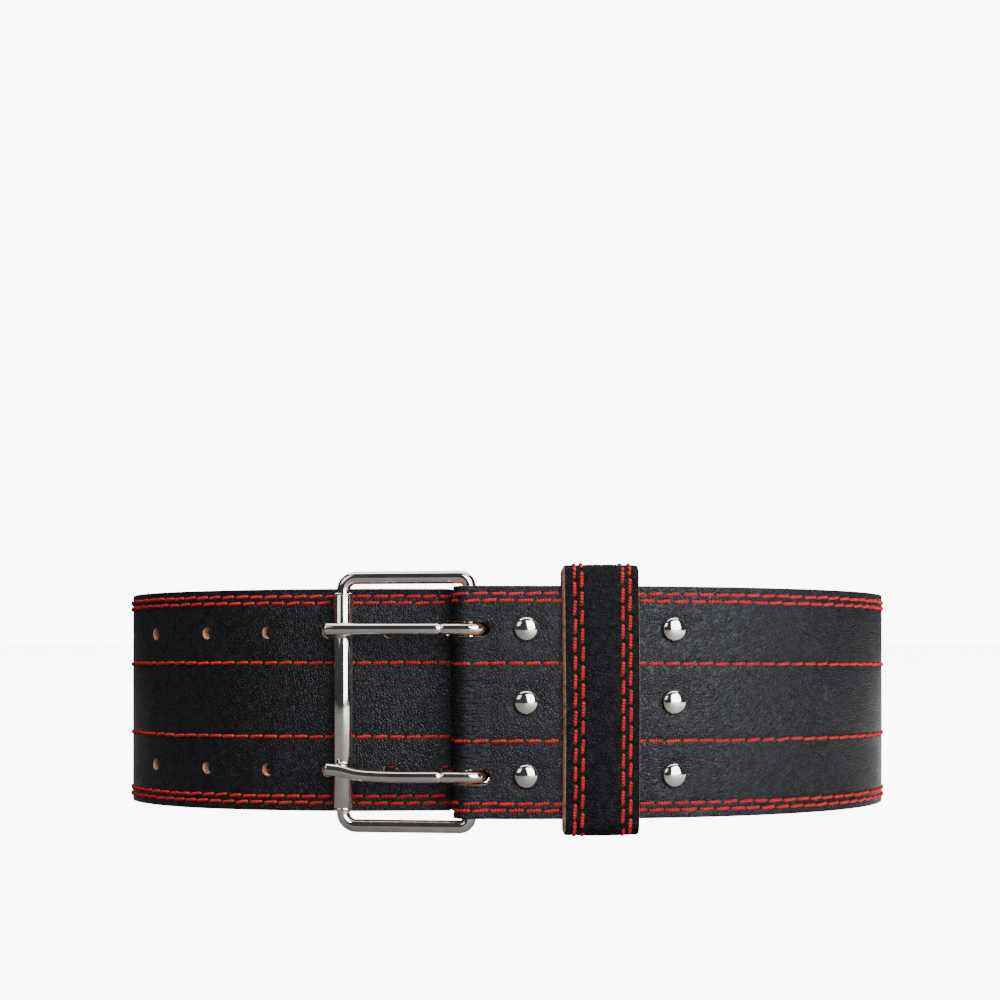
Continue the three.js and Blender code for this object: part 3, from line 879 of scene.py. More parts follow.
@dataclass(frozen=True)
class PolishedNickel(Finish):
    """Bright plated steel with faint handling marks."""

    dark: Colour = (0.7, 0.665, 0.62)
    light: Colour = (0.8, 0.765, 0.72)
    strength: float = 0.12

    def make(self, shared: SharedGroups) -> bpy.types.Material:
        """Build the material."""
        material, nodes, place = self.start()
        marks = nodes.group(shared.smudges, {"Vector": place, "Patch Scale": 90.0})
        rough = nodes.ramp(marks.outputs["Height"], 0.3, 0.9, 0.04, 0.1)
        plated = {"Metallic": 1.0, "Roughness": rough}
        self.close(nodes, self.tone_and_shade(nodes, marks.outputs["Tone"]), marks.outputs["Height"], plated)
        return material


class Finishes:
    """All of the belt's materials."""

    def __init__(self) -> None:
        """Build each material once."""
        shared = SharedGroups()
        self.leather = GrainLeather("black_grain_leather").make(shared)
        self.keeper = GrainLeather(
            "keeper_grain_leather", specular=0.06, rough_low=0.26, rough_high=0.34,
        ).make(shared)
        self.patch = GrainLeather(
            "patch_satin_leather", strength=0.3, depth=0.0001, specular=0.2,
            rough_low=0.42, rough_high=0.5, pebble_scale=1900.0,
        ).make(shared)
        self.suede = Suede("black_suede").make(shared)
        self.edge = RawEdge("raw_leather_edge").make(shared)
        self.thread = Thread("red_thread").make(shared)
        self.nickel = PolishedNickel("polished_nickel").make(shared)


# Leather

@dataclass(frozen=True)
class Hole:
    """A round or long hole in laid-out leather, with its long way along u."""

    u: float
    zeta: float
    radius: float
    half_length: float = 0.0


@dataclass
class LeatherSheet:
    """Leather laid out flat: a grid with holes, given its thickness and soft edges."""

    name: str
    columns: Array
    rows: Array
    thickness: float
    edge: float = 0.35
    holes: tuple[Hole, ...] = ()
    corner: float = 0.0
    joined: bool = False
    punch_margin: float = 1.6
    punch_ring: float = 0.9
    border: float = 0.05
    bevel_angle: float = 55.0
    facing: float = 0.9

    def build(self, finishes: Finishes, grain: bpy.types.Material) -> bpy.types.Object:
        """Model the laid-out sheet.

        Args:
            finishes: the belt's materials.
            grain: the material of the grain side.

        Returns:
            The object, with u, zeta and d as its x, y and z.
        """
        sheet = self.lay_out()
        if self.holes:
            self.punch(sheet)
        if self.corner:
            self.round_corners(sheet)
        apply_modifier(sheet, "SOLIDIFY", thickness=self.thickness, offset=0.0)
        if self.joined:
            self.open_ends(sheet)
        limits = {"limit_method": "ANGLE", "angle_limit": math.radians(self.bevel_angle)}
        apply_modifier(sheet, "BEVEL", width=self.edge, segments=2, **limits)
        for material in (grain, finishes.suede, finishes.edge):
            sheet.data.materials.append(material)
        normals = np.empty(len(sheet.data.polygons) * 3)
        sheet.data.polygons.foreach_get("normal", normals)
        up = normals.reshape(-1, 3)[:, 2]
        below = np.where(up < -self.facing, Side.FLESH.value, Side.CUT.value)
        index = np.where(up > self.facing, Side.GRAIN.value, below)
        sheet.data.polygons.foreach_set("material_index", index)
        return sheet

    def lay_out(self) -> bpy.types.Object:
        """Grid whose lines stand at the columns and rows."""
        select_none()
        counts = {"x_subdivisions": len(self.columns) - 1, "y_subdivisions": len(self.rows) - 1}
        bpy.ops.mesh.primitive_grid_add(size=2, **counts)
        sheet = bpy.context.view_layer.objects.active
        sheet.name = sheet.data.name = self.name
        points = read_points(sheet)
        column = np.rint((points[:, 0] + 1) / 2 * (len(self.columns) - 1)).astype(int)
        row = np.rint((points[:, 1] + 1) / 2 * (len(self.rows) - 1)).astype(int)
        flat = np.zeros_like(points)
        flat[:, 0], flat[:, 1] = self.columns[column], self.rows[row]
        write_points(sheet, flat)
        return sheet

    def punch(self, sheet: bpy.types.Object) -> None:
        """Take the faces round each hole away and draw their border in to its rim."""
        bm = edit(sheet, Pick.FACES)
        bpy.ops.mesh.select_all(action="DESELECT")
        for face in bm.faces:
            centre = face.calc_center_median()
            face.select_set(any(self.covers(hole, centre) for hole in self.holes))
        bmesh.update_edit_mesh(sheet.data)
        bpy.ops.mesh.delete(type="FACE")
        bpy.ops.mesh.select_mode(type="EDGE")
        bm = bmesh.from_edit_mesh(sheet.data)
        low = (self.columns[0] + self.border, self.rows[0] + self.border)
        high = (self.columns[-1] - self.border, self.rows[-1] - self.border)
        for edge_line in bm.edges:
            ends = [vertex.co for vertex in edge_line.verts]
            inner = all(low[0] < p.x < high[0] and low[1] < p.y < high[1] for p in ends)
            edge_line.select_set(edge_line.is_boundary and inner)
        bmesh.update_edit_mesh(sheet.data)
        for extra in (self.punch_ring, 0.0):
            bpy.ops.mesh.extrude_region_move()
            bm = bmesh.from_edit_mesh(sheet.data)
            for vertex in bm.verts:
                if vertex.select:
                    vertex.co = self.on_rim(vertex.co, extra)
            bmesh.update_edit_mesh(sheet.data)
        bpy.ops.object.mode_set(mode="OBJECT")

    def covers(self, hole: Hole, point: Vector) -> bool:
        """Whether a point lies in the square of faces that make room for a hole."""
        reach = hole.radius + self.punch_margin
        return abs(point.x - hole.u) < reach + hole.half_length and abs(point.y - hole.zeta) < reach

    def on_rim(self, point: Vector, extra: float) -> Vector:
        """Point of the nearest hole's rim, or of a ring a little outside it."""
        best = min(self.holes, key=lambda hole: (hole.u - point.x) ** 2 + (hole.zeta - point.y) ** 2)
        along = max(-best.half_length, min(best.half_length, point.x - best.u))
        core = Vector((best.u + along, best.zeta, 0))
        away = (Vector((point.x, point.y, 0)) - core).normalized()
        return core + away * (best.radius + extra)

    def round_corners(self, sheet: bpy.types.Object) -> None:
        """Draw the sheet's four corners in to quarter circles."""
        points = read_points(sheet)
        low = np.array([self.columns[0], self.rows[0]]) + self.corner
        high = np.array([self.columns[-1], self.rows[-1]]) - self.corner
        core = np.clip(points[:, :2], low, high)
        out = points[:, :2] - core
        longest, size = np.abs(out).max(axis=1), np.hypot(out[:, 0], out[:, 1])
        share = np.where(size > 0, longest / np.maximum(size, 1e-9), 1)
        points[:, :2] = core + out * share[:, None]
        write_points(sheet, points)

    def open_ends(self, sheet: bpy.types.Object) -> None:
        """Take the two end walls away, where a closed band meets itself."""
        bm = edit(sheet, Pick.FACES)
        ends = (self.columns[0], self.columns[-1])
        for face in bm.faces:
            at_end = [all(abs(vertex.co.x - end) < 1e-4 for vertex in face.verts) for end in ends]
            face.select_set(any(at_end))
        bmesh.update_edit_mesh(sheet.data)
        bpy.ops.mesh.delete(type="FACE")
        bpy.ops.object.mode_set(mode="OBJECT")


def add_value(piece: bpy.types.Object, name: str, values: Array) -> None:
    """Store one number a point on the mesh for its material."""
    attribute = piece.data.attributes.new(name, "FLOAT", "POINT")
    attribute.data.foreach_set("value", values.astype(np.float32))


def spaced(start: float, stop: float, step: float) -> Array:
    """Evenly spaced places about one step apart, both ends included."""
    return np.linspace(start, stop, max(2, round((stop - start) / step) + 1))


def both_ends(insets: tuple[float, ...], length: float) -> Array:
    """Places at these insets from the start and from the end of a length."""
    near = np.array(insets)
    return np.concatenate([near, length - near[::-1]])


def merged(*groups: Array, least: float) -> Array:
    """Sorted places with none closer than the least step; earlier groups win."""
    kept: list[float] = []
    for place in np.concatenate(groups):
        if all(abs(place - other) >= least for other in kept):
            kept.append(float(place))
    return np.array(sorted(kept))


@dataclass
class StrapPiece:
    """The strap: its laid-out leather, its relief and its stitch rows."""

    sizes: BeltSizes
    loop: Loop
    line: StrapLine
    finishes: Finishes
    pitch: float = 7.66
    outer_rows: tuple[float, ...] = (3.6, 6.6)
    middle_row: float = 16.9
    groove: float = 0.34
    groove_width: float = 0.85
    first_stitch: float = 3.0
    end_row: float = 6.5
    end_reach: float = 1.5
    stitch_slant: float = -4.5
    dimple_depth: float = 0.6
    dimple_radius: float = 4.2
    dimple_width: float = 3.4
    # Depth, place past the fold's start and width of the hollow and the swell beside the fold.
    hollow: tuple[float, float, float] = (0.45, -9.0, 3.5)
    swell: tuple[float, float, float] = (-0.35, 2.0, 4.0)
    crease_reach: float = 9.0
    beat: float = 0.28
    # The laid-out grid: its steps, and its lines beside stitches, at edges and ends, and round holes.
    step: float = 1.915
    height_step: float = 3.2
    fold_step: float = 0.62
    fold_margin: float = 3.0
    beside_stitch: float = 1.1
    edge_lines: tuple[float, ...] = (0.0, 0.7, 1.5)
    end_lines: tuple[float, ...] = (0.0, 0.35, 0.8)
    hole_band: tuple[float, float] = (25.6, 38.4)
    hole_step: float = 1.42

    def stitch_rows(self) -> list[float]:
        """Heights of the six long stitch rows."""
        width, middle = self.sizes.strap_width, self.sizes.middle
        low = [*self.outer_rows, middle - self.middle_row]
        return low + [width - row for row in reversed(low)]

    def holes(self) -> list[Hole]:
        """The prong holes and the two slots in the fold."""
        sizes, line = self.sizes, self.line
        found = []
        for column in sizes.hole_columns:
            u = line.u_at(self.loop.total - column)
            for way in (-0.5, 0.5):
                z = sizes.middle + way * sizes.hole_row_spacing
                found.append(Hole(u, line.zeta_at(u, z), sizes.hole_diameter / 2))
        height = sizes.prong_wire + 4 * sizes.clearance
        start, stop = line.u_at(sizes.slot_reach), line.u_on_tab(sizes.slot_reach)
        for rise in sizes.prong_heights:
            half = (stop - start) / 2 - height / 2
            found.append(Hole((start + stop) / 2, sizes.middle + rise, height / 2, half))
        return found

    def rows(self) -> Array:
        """Heights of the grid's lines: close together at stitches and holes."""
        width, middle = self.sizes.strap_width, self.sizes.middle
        beside = (0, -self.beside_stitch, self.beside_stitch)
        stitches = np.array([row + off for row in self.stitch_rows() for off in beside])
        band = spaced(*self.hole_band, self.hole_step)
        punched = middle + np.concatenate([band, -band])
        plain = spaced(0, width, self.height_step)
        return merged(both_ends(self.edge_lines, width), stitches, punched, plain, least=0.68)

    def columns(self) -> Array:
        """Places of the grid's lines along the leather: close together in the fold."""
        line = self.line
        fold = spaced(line.fold_from - self.fold_margin, line.fold_to + self.fold_margin, self.fold_step)
        ends = both_ends(self.end_lines, line.total)
        return merged(ends, fold, spaced(0, line.total, self.step), least=0.4)

    def relief(self, u: Array, zeta: Array) -> Array:
        """Hollows of the grain side: stitch rows, rivet dimples, and the crease beside the fold."""
        depth = np.zeros_like(u)
        beat = 1 - self.beat + self.beat * np.cos(2 * math.pi * (u - self.first_stitch) / self.pitch)
        for row in self.stitch_rows():
            depth -= self.groove * beat * np.exp(-(((zeta - row) / self.groove_width) ** 2))
        for station in self.sizes.rivet_stations:
            for place in (self.line.u_at(station), self.line.u_on_tab(station)):
                for row in (-1, 0, 1):
                    height = self.sizes.middle + row * self.sizes.rivet_row_spacing
                    away = np.hypot(u - place, zeta - height)
                    past = np.maximum(away - self.dimple_radius, 0)
                    depth -= self.dimple_depth * np.exp(-((past / self.dimple_width) ** 2))
        for deep, offset, width in (self.hollow, self.swell):
            depth -= deep * np.exp(-(((u - (self.line.fold_from + offset)) / width) ** 2))
        return depth

    def waves(self, u: Array, zeta: Array) -> Array:
        """Slow unevenness of the whole leather."""
        gentle = 0.1 * np.sin(u / 17.0 + 0.6 * np.sin(zeta / 19.0)) * np.sin(zeta / 23.0 + u / 61.0)
        return gentle + 0.08 * np.sin(u / 41.0 + 1.3)

    def build(self) -> bpy.types.Object:
        """Model the strap and bend it round the loop."""
        sheet = LeatherSheet(
            "strap_leather", self.columns(), self.rows(), self.sizes.strap_thickness,
            holes=tuple(self.holes()), corner=self.sizes.corner,
        ).build(self.finishes, self.finishes.leather)
        points = read_points(sheet)
        u, zeta, d = points.T
        half = self.sizes.half_leather
        grain_side = np.clip((d + half * 0.5) / (1.5 * half), 0, 1)
        shaped = d + grain_side * self.relief(u, zeta) + self.waves(u, zeta)
        near_fold = np.exp(-(((u - self.line.fold_from) / self.crease_reach) ** 2))
        write_points(sheet, self.line.place(u, zeta, shaped))
        sheet.data.flip_normals()
        add_value(sheet, "crease", near_fold)
        smooth(sheet)
        return hand_over(sheet, ("strap",))

    def on_grain(self, u: Array, zeta: Array, off: Array) -> Array:
        """Final place of points off the grain side, in metres."""
        return self.line.place(u, zeta, self.sizes.half_leather + off)

    def on_flesh(self, u: Array, zeta: Array, off: Array) -> Array:
        """Final place of points off the flesh side, in metres."""
        return self.line.place(u, zeta, off - self.sizes.half_leather)

    def stitch_spots(self, patch: "PatchPiece") -> Array:
        """Where the strap's stitches lie: six long rows and one across the tab's end.

        Args:
            patch: the patch, which the two middle rows stop at.

        Returns:
            A row for each stitch: place along, height and angle.
        """
        line, pitch, slant = self.line, self.pitch, math.radians(self.stitch_slant)
        last = line.total - self.end_row - self.end_reach
        count = int((last - self.first_stitch) / pitch)
        places = self.first_stitch + (np.arange(count) + 0.5) * pitch
        patch_from = line.u_at(patch.station + self.sizes.patch_width / 2)
        patch_to = line.u_at(patch.station - self.sizes.patch_width / 2)
        keeper = self.sizes.keeper_station
        reach = self.sizes.keeper_width / 2 - pitch / 2
        keeper_from, keeper_to = line.u_at(keeper + reach), line.u_at(keeper - reach)
        rows = self.stitch_rows()
        spots = []
        for index, row in enumerate(rows):
            middle = index in (2, 3)
            offset = pitch * 0.5 if index in (1, 4) else 0.0
            for place in places + offset:
                hidden = keeper_from < place < keeper_to
                hidden = hidden or (middle and patch_from < place < patch_to)
                if not hidden and place < last:
                    spots.append((place, row, slant))
        across = np.arange(rows[1] + pitch / 2, rows[4], pitch)
        spots += [(line.total - self.end_row, height, math.pi / 2 + slant) for height in across]
        return np.array(spots)


@dataclass
class KeeperPiece:
    """The keeper: a closed leather band round the strap, with two double rows of stitches."""

    sizes: BeltSizes
    loop: Loop
    finishes: Finishes
    stitch_insets: tuple[float, float] = (4.1, 7.3)
    stitch_count: int = 30
    stitch_slant: float = 3.0
    stitch_lift: float = 0.1
    groove: float = 0.32
    groove_width: float = 0.85
    pillow: float = 0.35
    edge_reach: float = 3.0
    beat: float = 0.3
    corner_points: int = 10
    samples: int = 1200
    flat: float = 2.4
    left_slant: float = 1.3
    right_slant: float = 0.45

    def band(self) -> tuple[Array, Array, Array, Array, Array]:
        """Middle line of the band in v and z, its outward directions and its lengths."""
        sizes = self.sizes
        inner = sizes.half_leather + sizes.clearance
        half = inner + sizes.keeper_thickness / 2
        low = -sizes.keeper_below + sizes.keeper_thickness / 2
        high = sizes.strap_width + sizes.keeper_above - sizes.keeper_thickness / 2
        radius = half - self.flat / 2
        corners = [
            (half - radius, low + radius, -0.5 * math.pi),
            (half - radius, high - radius, 0.0),
            (radius - half, high - radius, 0.5 * math.pi),
            (radius - half, low + radius, math.pi),
        ]
        v, z = [0.0], [low]
        for centre_v, centre_z, start in corners:
            for angle in np.linspace(start, start + math.pi / 2, self.corner_points):
                v.append(centre_v + radius * math.cos(angle))
                z.append(centre_z + radius * math.sin(angle))
        v.append(0.0)
        z.append(low)
        lengths = np.concatenate([[0], np.cumsum(np.hypot(np.diff(v), np.diff(z)))])
        even = np.linspace(0, lengths[-1], self.samples)
        v_even, z_even = np.interp(even, lengths, v), np.interp(even, lengths, z)
        way_v, way_z = np.gradient(v_even, even), np.gradient(z_even, even)
        size = np.hypot(way_v, way_z)
        return even, v_even, z_even, way_z / size, -way_v / size

    def place(self, p: Array, across: Array, d: Array) -> Array:
        """Final place of points on the band, in metres."""
        even, v, z, out_v, out_z = self.band()
        p = np.mod(p, even[-1]) if np.ndim(p) else p
        v_at = np.interp(p, even, v) + d * np.interp(p, even, out_v)
        z_at = np.interp(p, even, z) + d * np.interp(p, even, out_z)
        return self.loop.place(self.sizes.keeper_station + across, v_at, z_at)

    def build(self) -> bpy.types.Object:
        """Model the band flat and close it round the strap."""
        around = float(self.band()[0][-1])
        half = self.sizes.keeper_width / 2
        insets = [half - inset for inset in self.stitch_insets]
        lines = np.array([way * (row + off) for row in insets for off in (0, -1, 1) for way in (-1, 1)])
        ends = np.array([-half, half, 0.7 - half, half - 0.7])
        sheet = LeatherSheet(
            "keeper_leather", spaced(0, around, 1.25),
            merged(ends, lines, spaced(-half, half, 2.2), least=0.65),
            self.sizes.keeper_thickness, edge=0.4, joined=True,
        ).build(self.finishes, self.finishes.keeper)
        p, across, d = read_points(sheet).T
        relief = np.zeros_like(p)
        beat = 1 - self.beat + self.beat * np.cos(2 * math.pi * p * self.stitch_count / around)
        for row in (way * inset for inset in insets for way in (-1, 1)):
            relief -= self.groove * beat * np.exp(-(((across - row) / self.groove_width) ** 2))
        relief += self.pillow * (1 - (across / half) ** 2)
        relief += 0.12 * np.sin(p / 9.0) * np.sin(across / 7.0)
        outer = d > 0
        inward = np.clip(0.5 - d / self.sizes.keeper_thickness, 0, 1)
        near_left = np.clip((-across - half) / self.edge_reach + 1, 0, 1)
        near_right = np.clip((across - half) / self.edge_reach + 1, 0, 1)
        slant = inward * (self.right_slant * near_right - self.left_slant * near_left)
        shaped = d + np.where(outer, relief, 0)
        write_points(sheet, self.place(p, across + self.wander(p) + slant, shaped))
        sheet.data.flip_normals()
        add_value(sheet, "crease", np.where(outer, 0.12, 0.0))
        join_points(sheet, 1e-6)
        smooth(sheet)
        return hand_over(sheet, ("keeper",))

    @staticmethod
    def wander(p: Array) -> Array:
        """How far the band strays to the side along its length."""
        return 0.35 * np.sin(p / 31.0)

    def on_face(self, p: Array, across: Array, off: Array) -> Array:
        """Final place of points off the band's outer face, in metres."""
        level = self.sizes.keeper_thickness / 2 + self.stitch_lift
        return self.place(p, across + self.wander(p), level + off)

    def stitch_spots(self) -> Array:
        """Where the keeper's stitches lie: two double rows all the way round."""
        around = float(self.band()[0][-1])
        pitch = around / self.stitch_count
        half, slant = self.sizes.keeper_width / 2, math.radians(self.stitch_slant)
        spots = []
        for side in (-1, 1):
            for index, inset in enumerate(self.stitch_insets):
                start = 0.5 * index + 0.2 * (side > 0)
                for k in range(self.stitch_count):
                    spots.append(((k + start + 0.5) * pitch, side * (half - inset), slant))
        return np.array(spots)


@dataclass
class PatchPiece:
    """The bare label patch, sewn on opposite the buckle."""

    sizes: BeltSizes
    loop: Loop
    finishes: Finishes
    stitch_inset: float = 2.3
    stitch_pitch: float = 3.9
    stitch_sink: float = 0.12
    seat: float = 0.08

    @property
    def station(self) -> float:
        """Station of the patch's middle."""
        return self.loop.total / 2 - self.loop.length_at_x(self.sizes.patch_x) - self.loop.bar_length

    @property
    def thickness(self) -> float:
        """Thickness, from the strap's face to the patch's face."""
        return self.sizes.patch_thickness + self.sizes.clearance - self.seat

    def place(self, a: Array, zeta: Array, d: Array) -> Array:
        """Final place of points on the patch, in metres."""
        level = self.sizes.half_leather + self.seat + self.thickness / 2
        return self.loop.place(self.station - a, level + d, zeta)

    def build(self) -> bpy.types.Object:
        """Model the patch flat and lay it on the strap."""
        half = self.sizes.patch_width / 2
        low, high = self.sizes.patch_margin, self.sizes.strap_width - self.sizes.patch_margin
        inset = self.stitch_inset
        column_ends = np.array([-half, half, 0.5 - half, half - 0.5, inset - half, half - inset])
        row_ends = np.array([low, high, low + 0.5, high - 0.5, low + inset, high - inset])
        sheet = LeatherSheet(
            "patch_leather",
            merged(column_ends, spaced(-half, half, 1.3), least=0.45),
            merged(row_ends, spaced(low, high, 1.3), least=0.45),
            self.thickness, edge=0.22, corner=2.0,
        ).build(self.finishes, self.finishes.patch)
        every_face = np.full(len(sheet.data.polygons), Side.GRAIN.value)
        sheet.data.polygons.foreach_set("material_index", every_face)
        a, zeta, d = read_points(sheet).T
        to_edge = np.minimum(half - np.abs(a), np.minimum(zeta - low, high - zeta))
        sewn = -0.28 * np.exp(-(((to_edge - inset) / 0.9) ** 2))
        swell = 0.16 * (1 - np.exp(-np.maximum(to_edge - inset, 0) / 5.0))
        write_points(sheet, self.place(a, zeta, d + np.where(d > 0, sewn + swell, 0)))
        add_value(sheet, "crease", np.zeros_like(a))
        sheet.data.flip_normals()
        smooth(sheet)
        return hand_over(sheet, ("patch",))

    def on_face(self, a: Array, zeta: Array, off: Array) -> Array:
        """Final place of points off the patch's face, in metres."""
        return self.place(a, zeta, self.thickness / 2 - self.stitch_sink + off)

    def stitch_spots(self) -> Array:
        """Where the patch's border stitches lie."""
        half = self.sizes.patch_width / 2 - self.stitch_inset
        low = self.sizes.patch_margin + self.stitch_inset
        high = self.sizes.strap_width - low
        across, up = round(2 * half / self.stitch_pitch), round((high - low) / self.stitch_pitch)
        spots = []
        for k in range(across):
            place = -half + (k + 0.5) * 2 * half / across
            spots += [(place, low, 0.0), (place, high, 0.0)]
        for k in range(up):
            height = low + (k + 0.5) * (high - low) / up
            spots += [(-half, height, math.pi / 2), (half, height, math.pi / 2)]
        return np.array(spots)


# Stitches

@dataclass(frozen=True)
class StitchModel:
    """One stitch of twisted thread, along its own x, modelled once and copied."""

    length: float
    radius: float
    rings: int
    turns: float
    rise: float
    sink: float
    sides: int = 6
    valley: float = 0.66
    flatness: float = 0.86
    thinning: float = 0.42

    def centre(self, share: Array) -> Array:
        """Height of the thread's middle, at a share of half its length from the middle."""
        return self.rise - (self.rise + self.sink) * np.abs(share) ** 6

    def width(self, share: Array) -> Array:
        """Radius of the thread, at a share of half its length from the middle."""
        return self.radius * (1 - self.thinning * np.abs(share) ** 7)

    def build(self) -> tuple[Array, Array, Array]:
        """Model the stitch.

        Returns:
            Its points, its faces and how far out on a ply each point lies.
        """
        lobes = np.where(np.arange(self.sides) % 2 == 0, 1.0, self.valley)
        flat = Matrix.Diagonal((1, 1, self.flatness, 1))
        lie_down = Matrix.Rotation(math.pi / 2, 4, "Y")
        stations, shares = [], np.linspace(-1, 1, self.rings)
        for share in shares:
            turn = lie_down @ Matrix.Rotation(share * self.turns * math.pi, 4, "Z")
            size = Matrix.Diagonal((self.width(share), self.width(share), 1, 1))
            move = Matrix.Translation((share * self.length / 2, 0, self.centre(share)))
            stations.append(move @ flat @ turn @ size)
        piece = sweep("stitch_model", circle(self.sides) * lobes[:, None], stations)
        points = read_points(piece)
        faces = [tuple(polygon.vertices) for polygon in piece.data.polygons]
        lengths = np.interp(points[:, 0], shares * self.length / 2, shares)
        away = np.hypot(points[:, 1], (points[:, 2] - self.centre(lengths)) / self.flatness)
        # How far out on a ply each point lies, from 0 in a valley to 1 on a crest; the thread's material
        # paints shade from it.
        ply = np.clip((away / self.width(lengths) - self.valley) / (1 - self.valley), 0, 1)
        bpy.data.objects.remove(piece)
        return points, np.array([face for face in faces if len(face) == 4]), ply


LONG_STITCH = StitchModel(length=7.3, radius=0.86, rings=16, turns=1.9, rise=0.22, sink=0.85)
FLESH_STITCH = StitchModel(length=5.6, radius=0.6, rings=9, turns=1.2, rise=0.15, sink=0.6)
PATCH_STITCH = StitchModel(length=3.3, radius=0.42, rings=7, turns=1.0, rise=0.16, sink=0.4)


@dataclass
class Stitches:
    """Joined copies of one stitch, laid on a leather piece."""

    name: str
    model: StitchModel
    finishes: Finishes
    seed: int
    jitter: float = 0.14

    def build(self, spots: Array, place: Placer, under: bool = False) -> bpy.types.Object:
        """Lay the stitches.

        Args:
            spots: a row for each stitch: place along, height and angle in radians.
            place: turns along, height and distance off the face into the final place.
            under: whether they lie on the side that faces away from d.

        Returns:
            The joined object.
        """
        chance = np.random.default_rng(self.seed)
        points, faces, ply = self.model.build()
        count = len(spots)
        along = spots[:, 0] + chance.normal(0, self.jitter, count)
        height = spots[:, 1] + chance.normal(0, self.jitter * 0.6, count)
        angle = spots[:, 2] + chance.normal(0, math.radians(1.6), count)
        stretch = 1 + chance.normal(0, 0.02, count)
        x = points[None, :, 0] * stretch[:, None]
        y = np.broadcast_to(points[None, :, 1], x.shape)
        cos, sin = np.cos(angle)[:, None], np.sin(angle)[:, None]
        u = along[:, None] + x * cos - y * sin
        zeta = height[:, None] + x * sin + y * cos
        off = np.broadcast_to(points[None, :, 2], x.shape)
        way = -1 if under else 1
        final = place(u.ravel(), zeta.ravel(), way * off.ravel())
        mesh = bpy.data.meshes.new(self.name)
        shift = np.arange(count)[:, None, None] * len(points)
        all_faces = (faces[None] + shift).reshape(-1, 4)
        mesh.from_pydata(final.tolist(), [], all_faces.tolist())
        piece = bpy.data.objects.new(self.name, mesh)
        bpy.context.scene.collection.objects.link(piece)
        mesh.materials.append(self.finishes.thread)
        # The ply value carries the painted shade between the thread's plies.
        add_value(piece, "ply", np.tile(ply, count))
        face_outwards(piece)
        smooth(piece, 75.0)
        return hand_over(piece)


# Metal

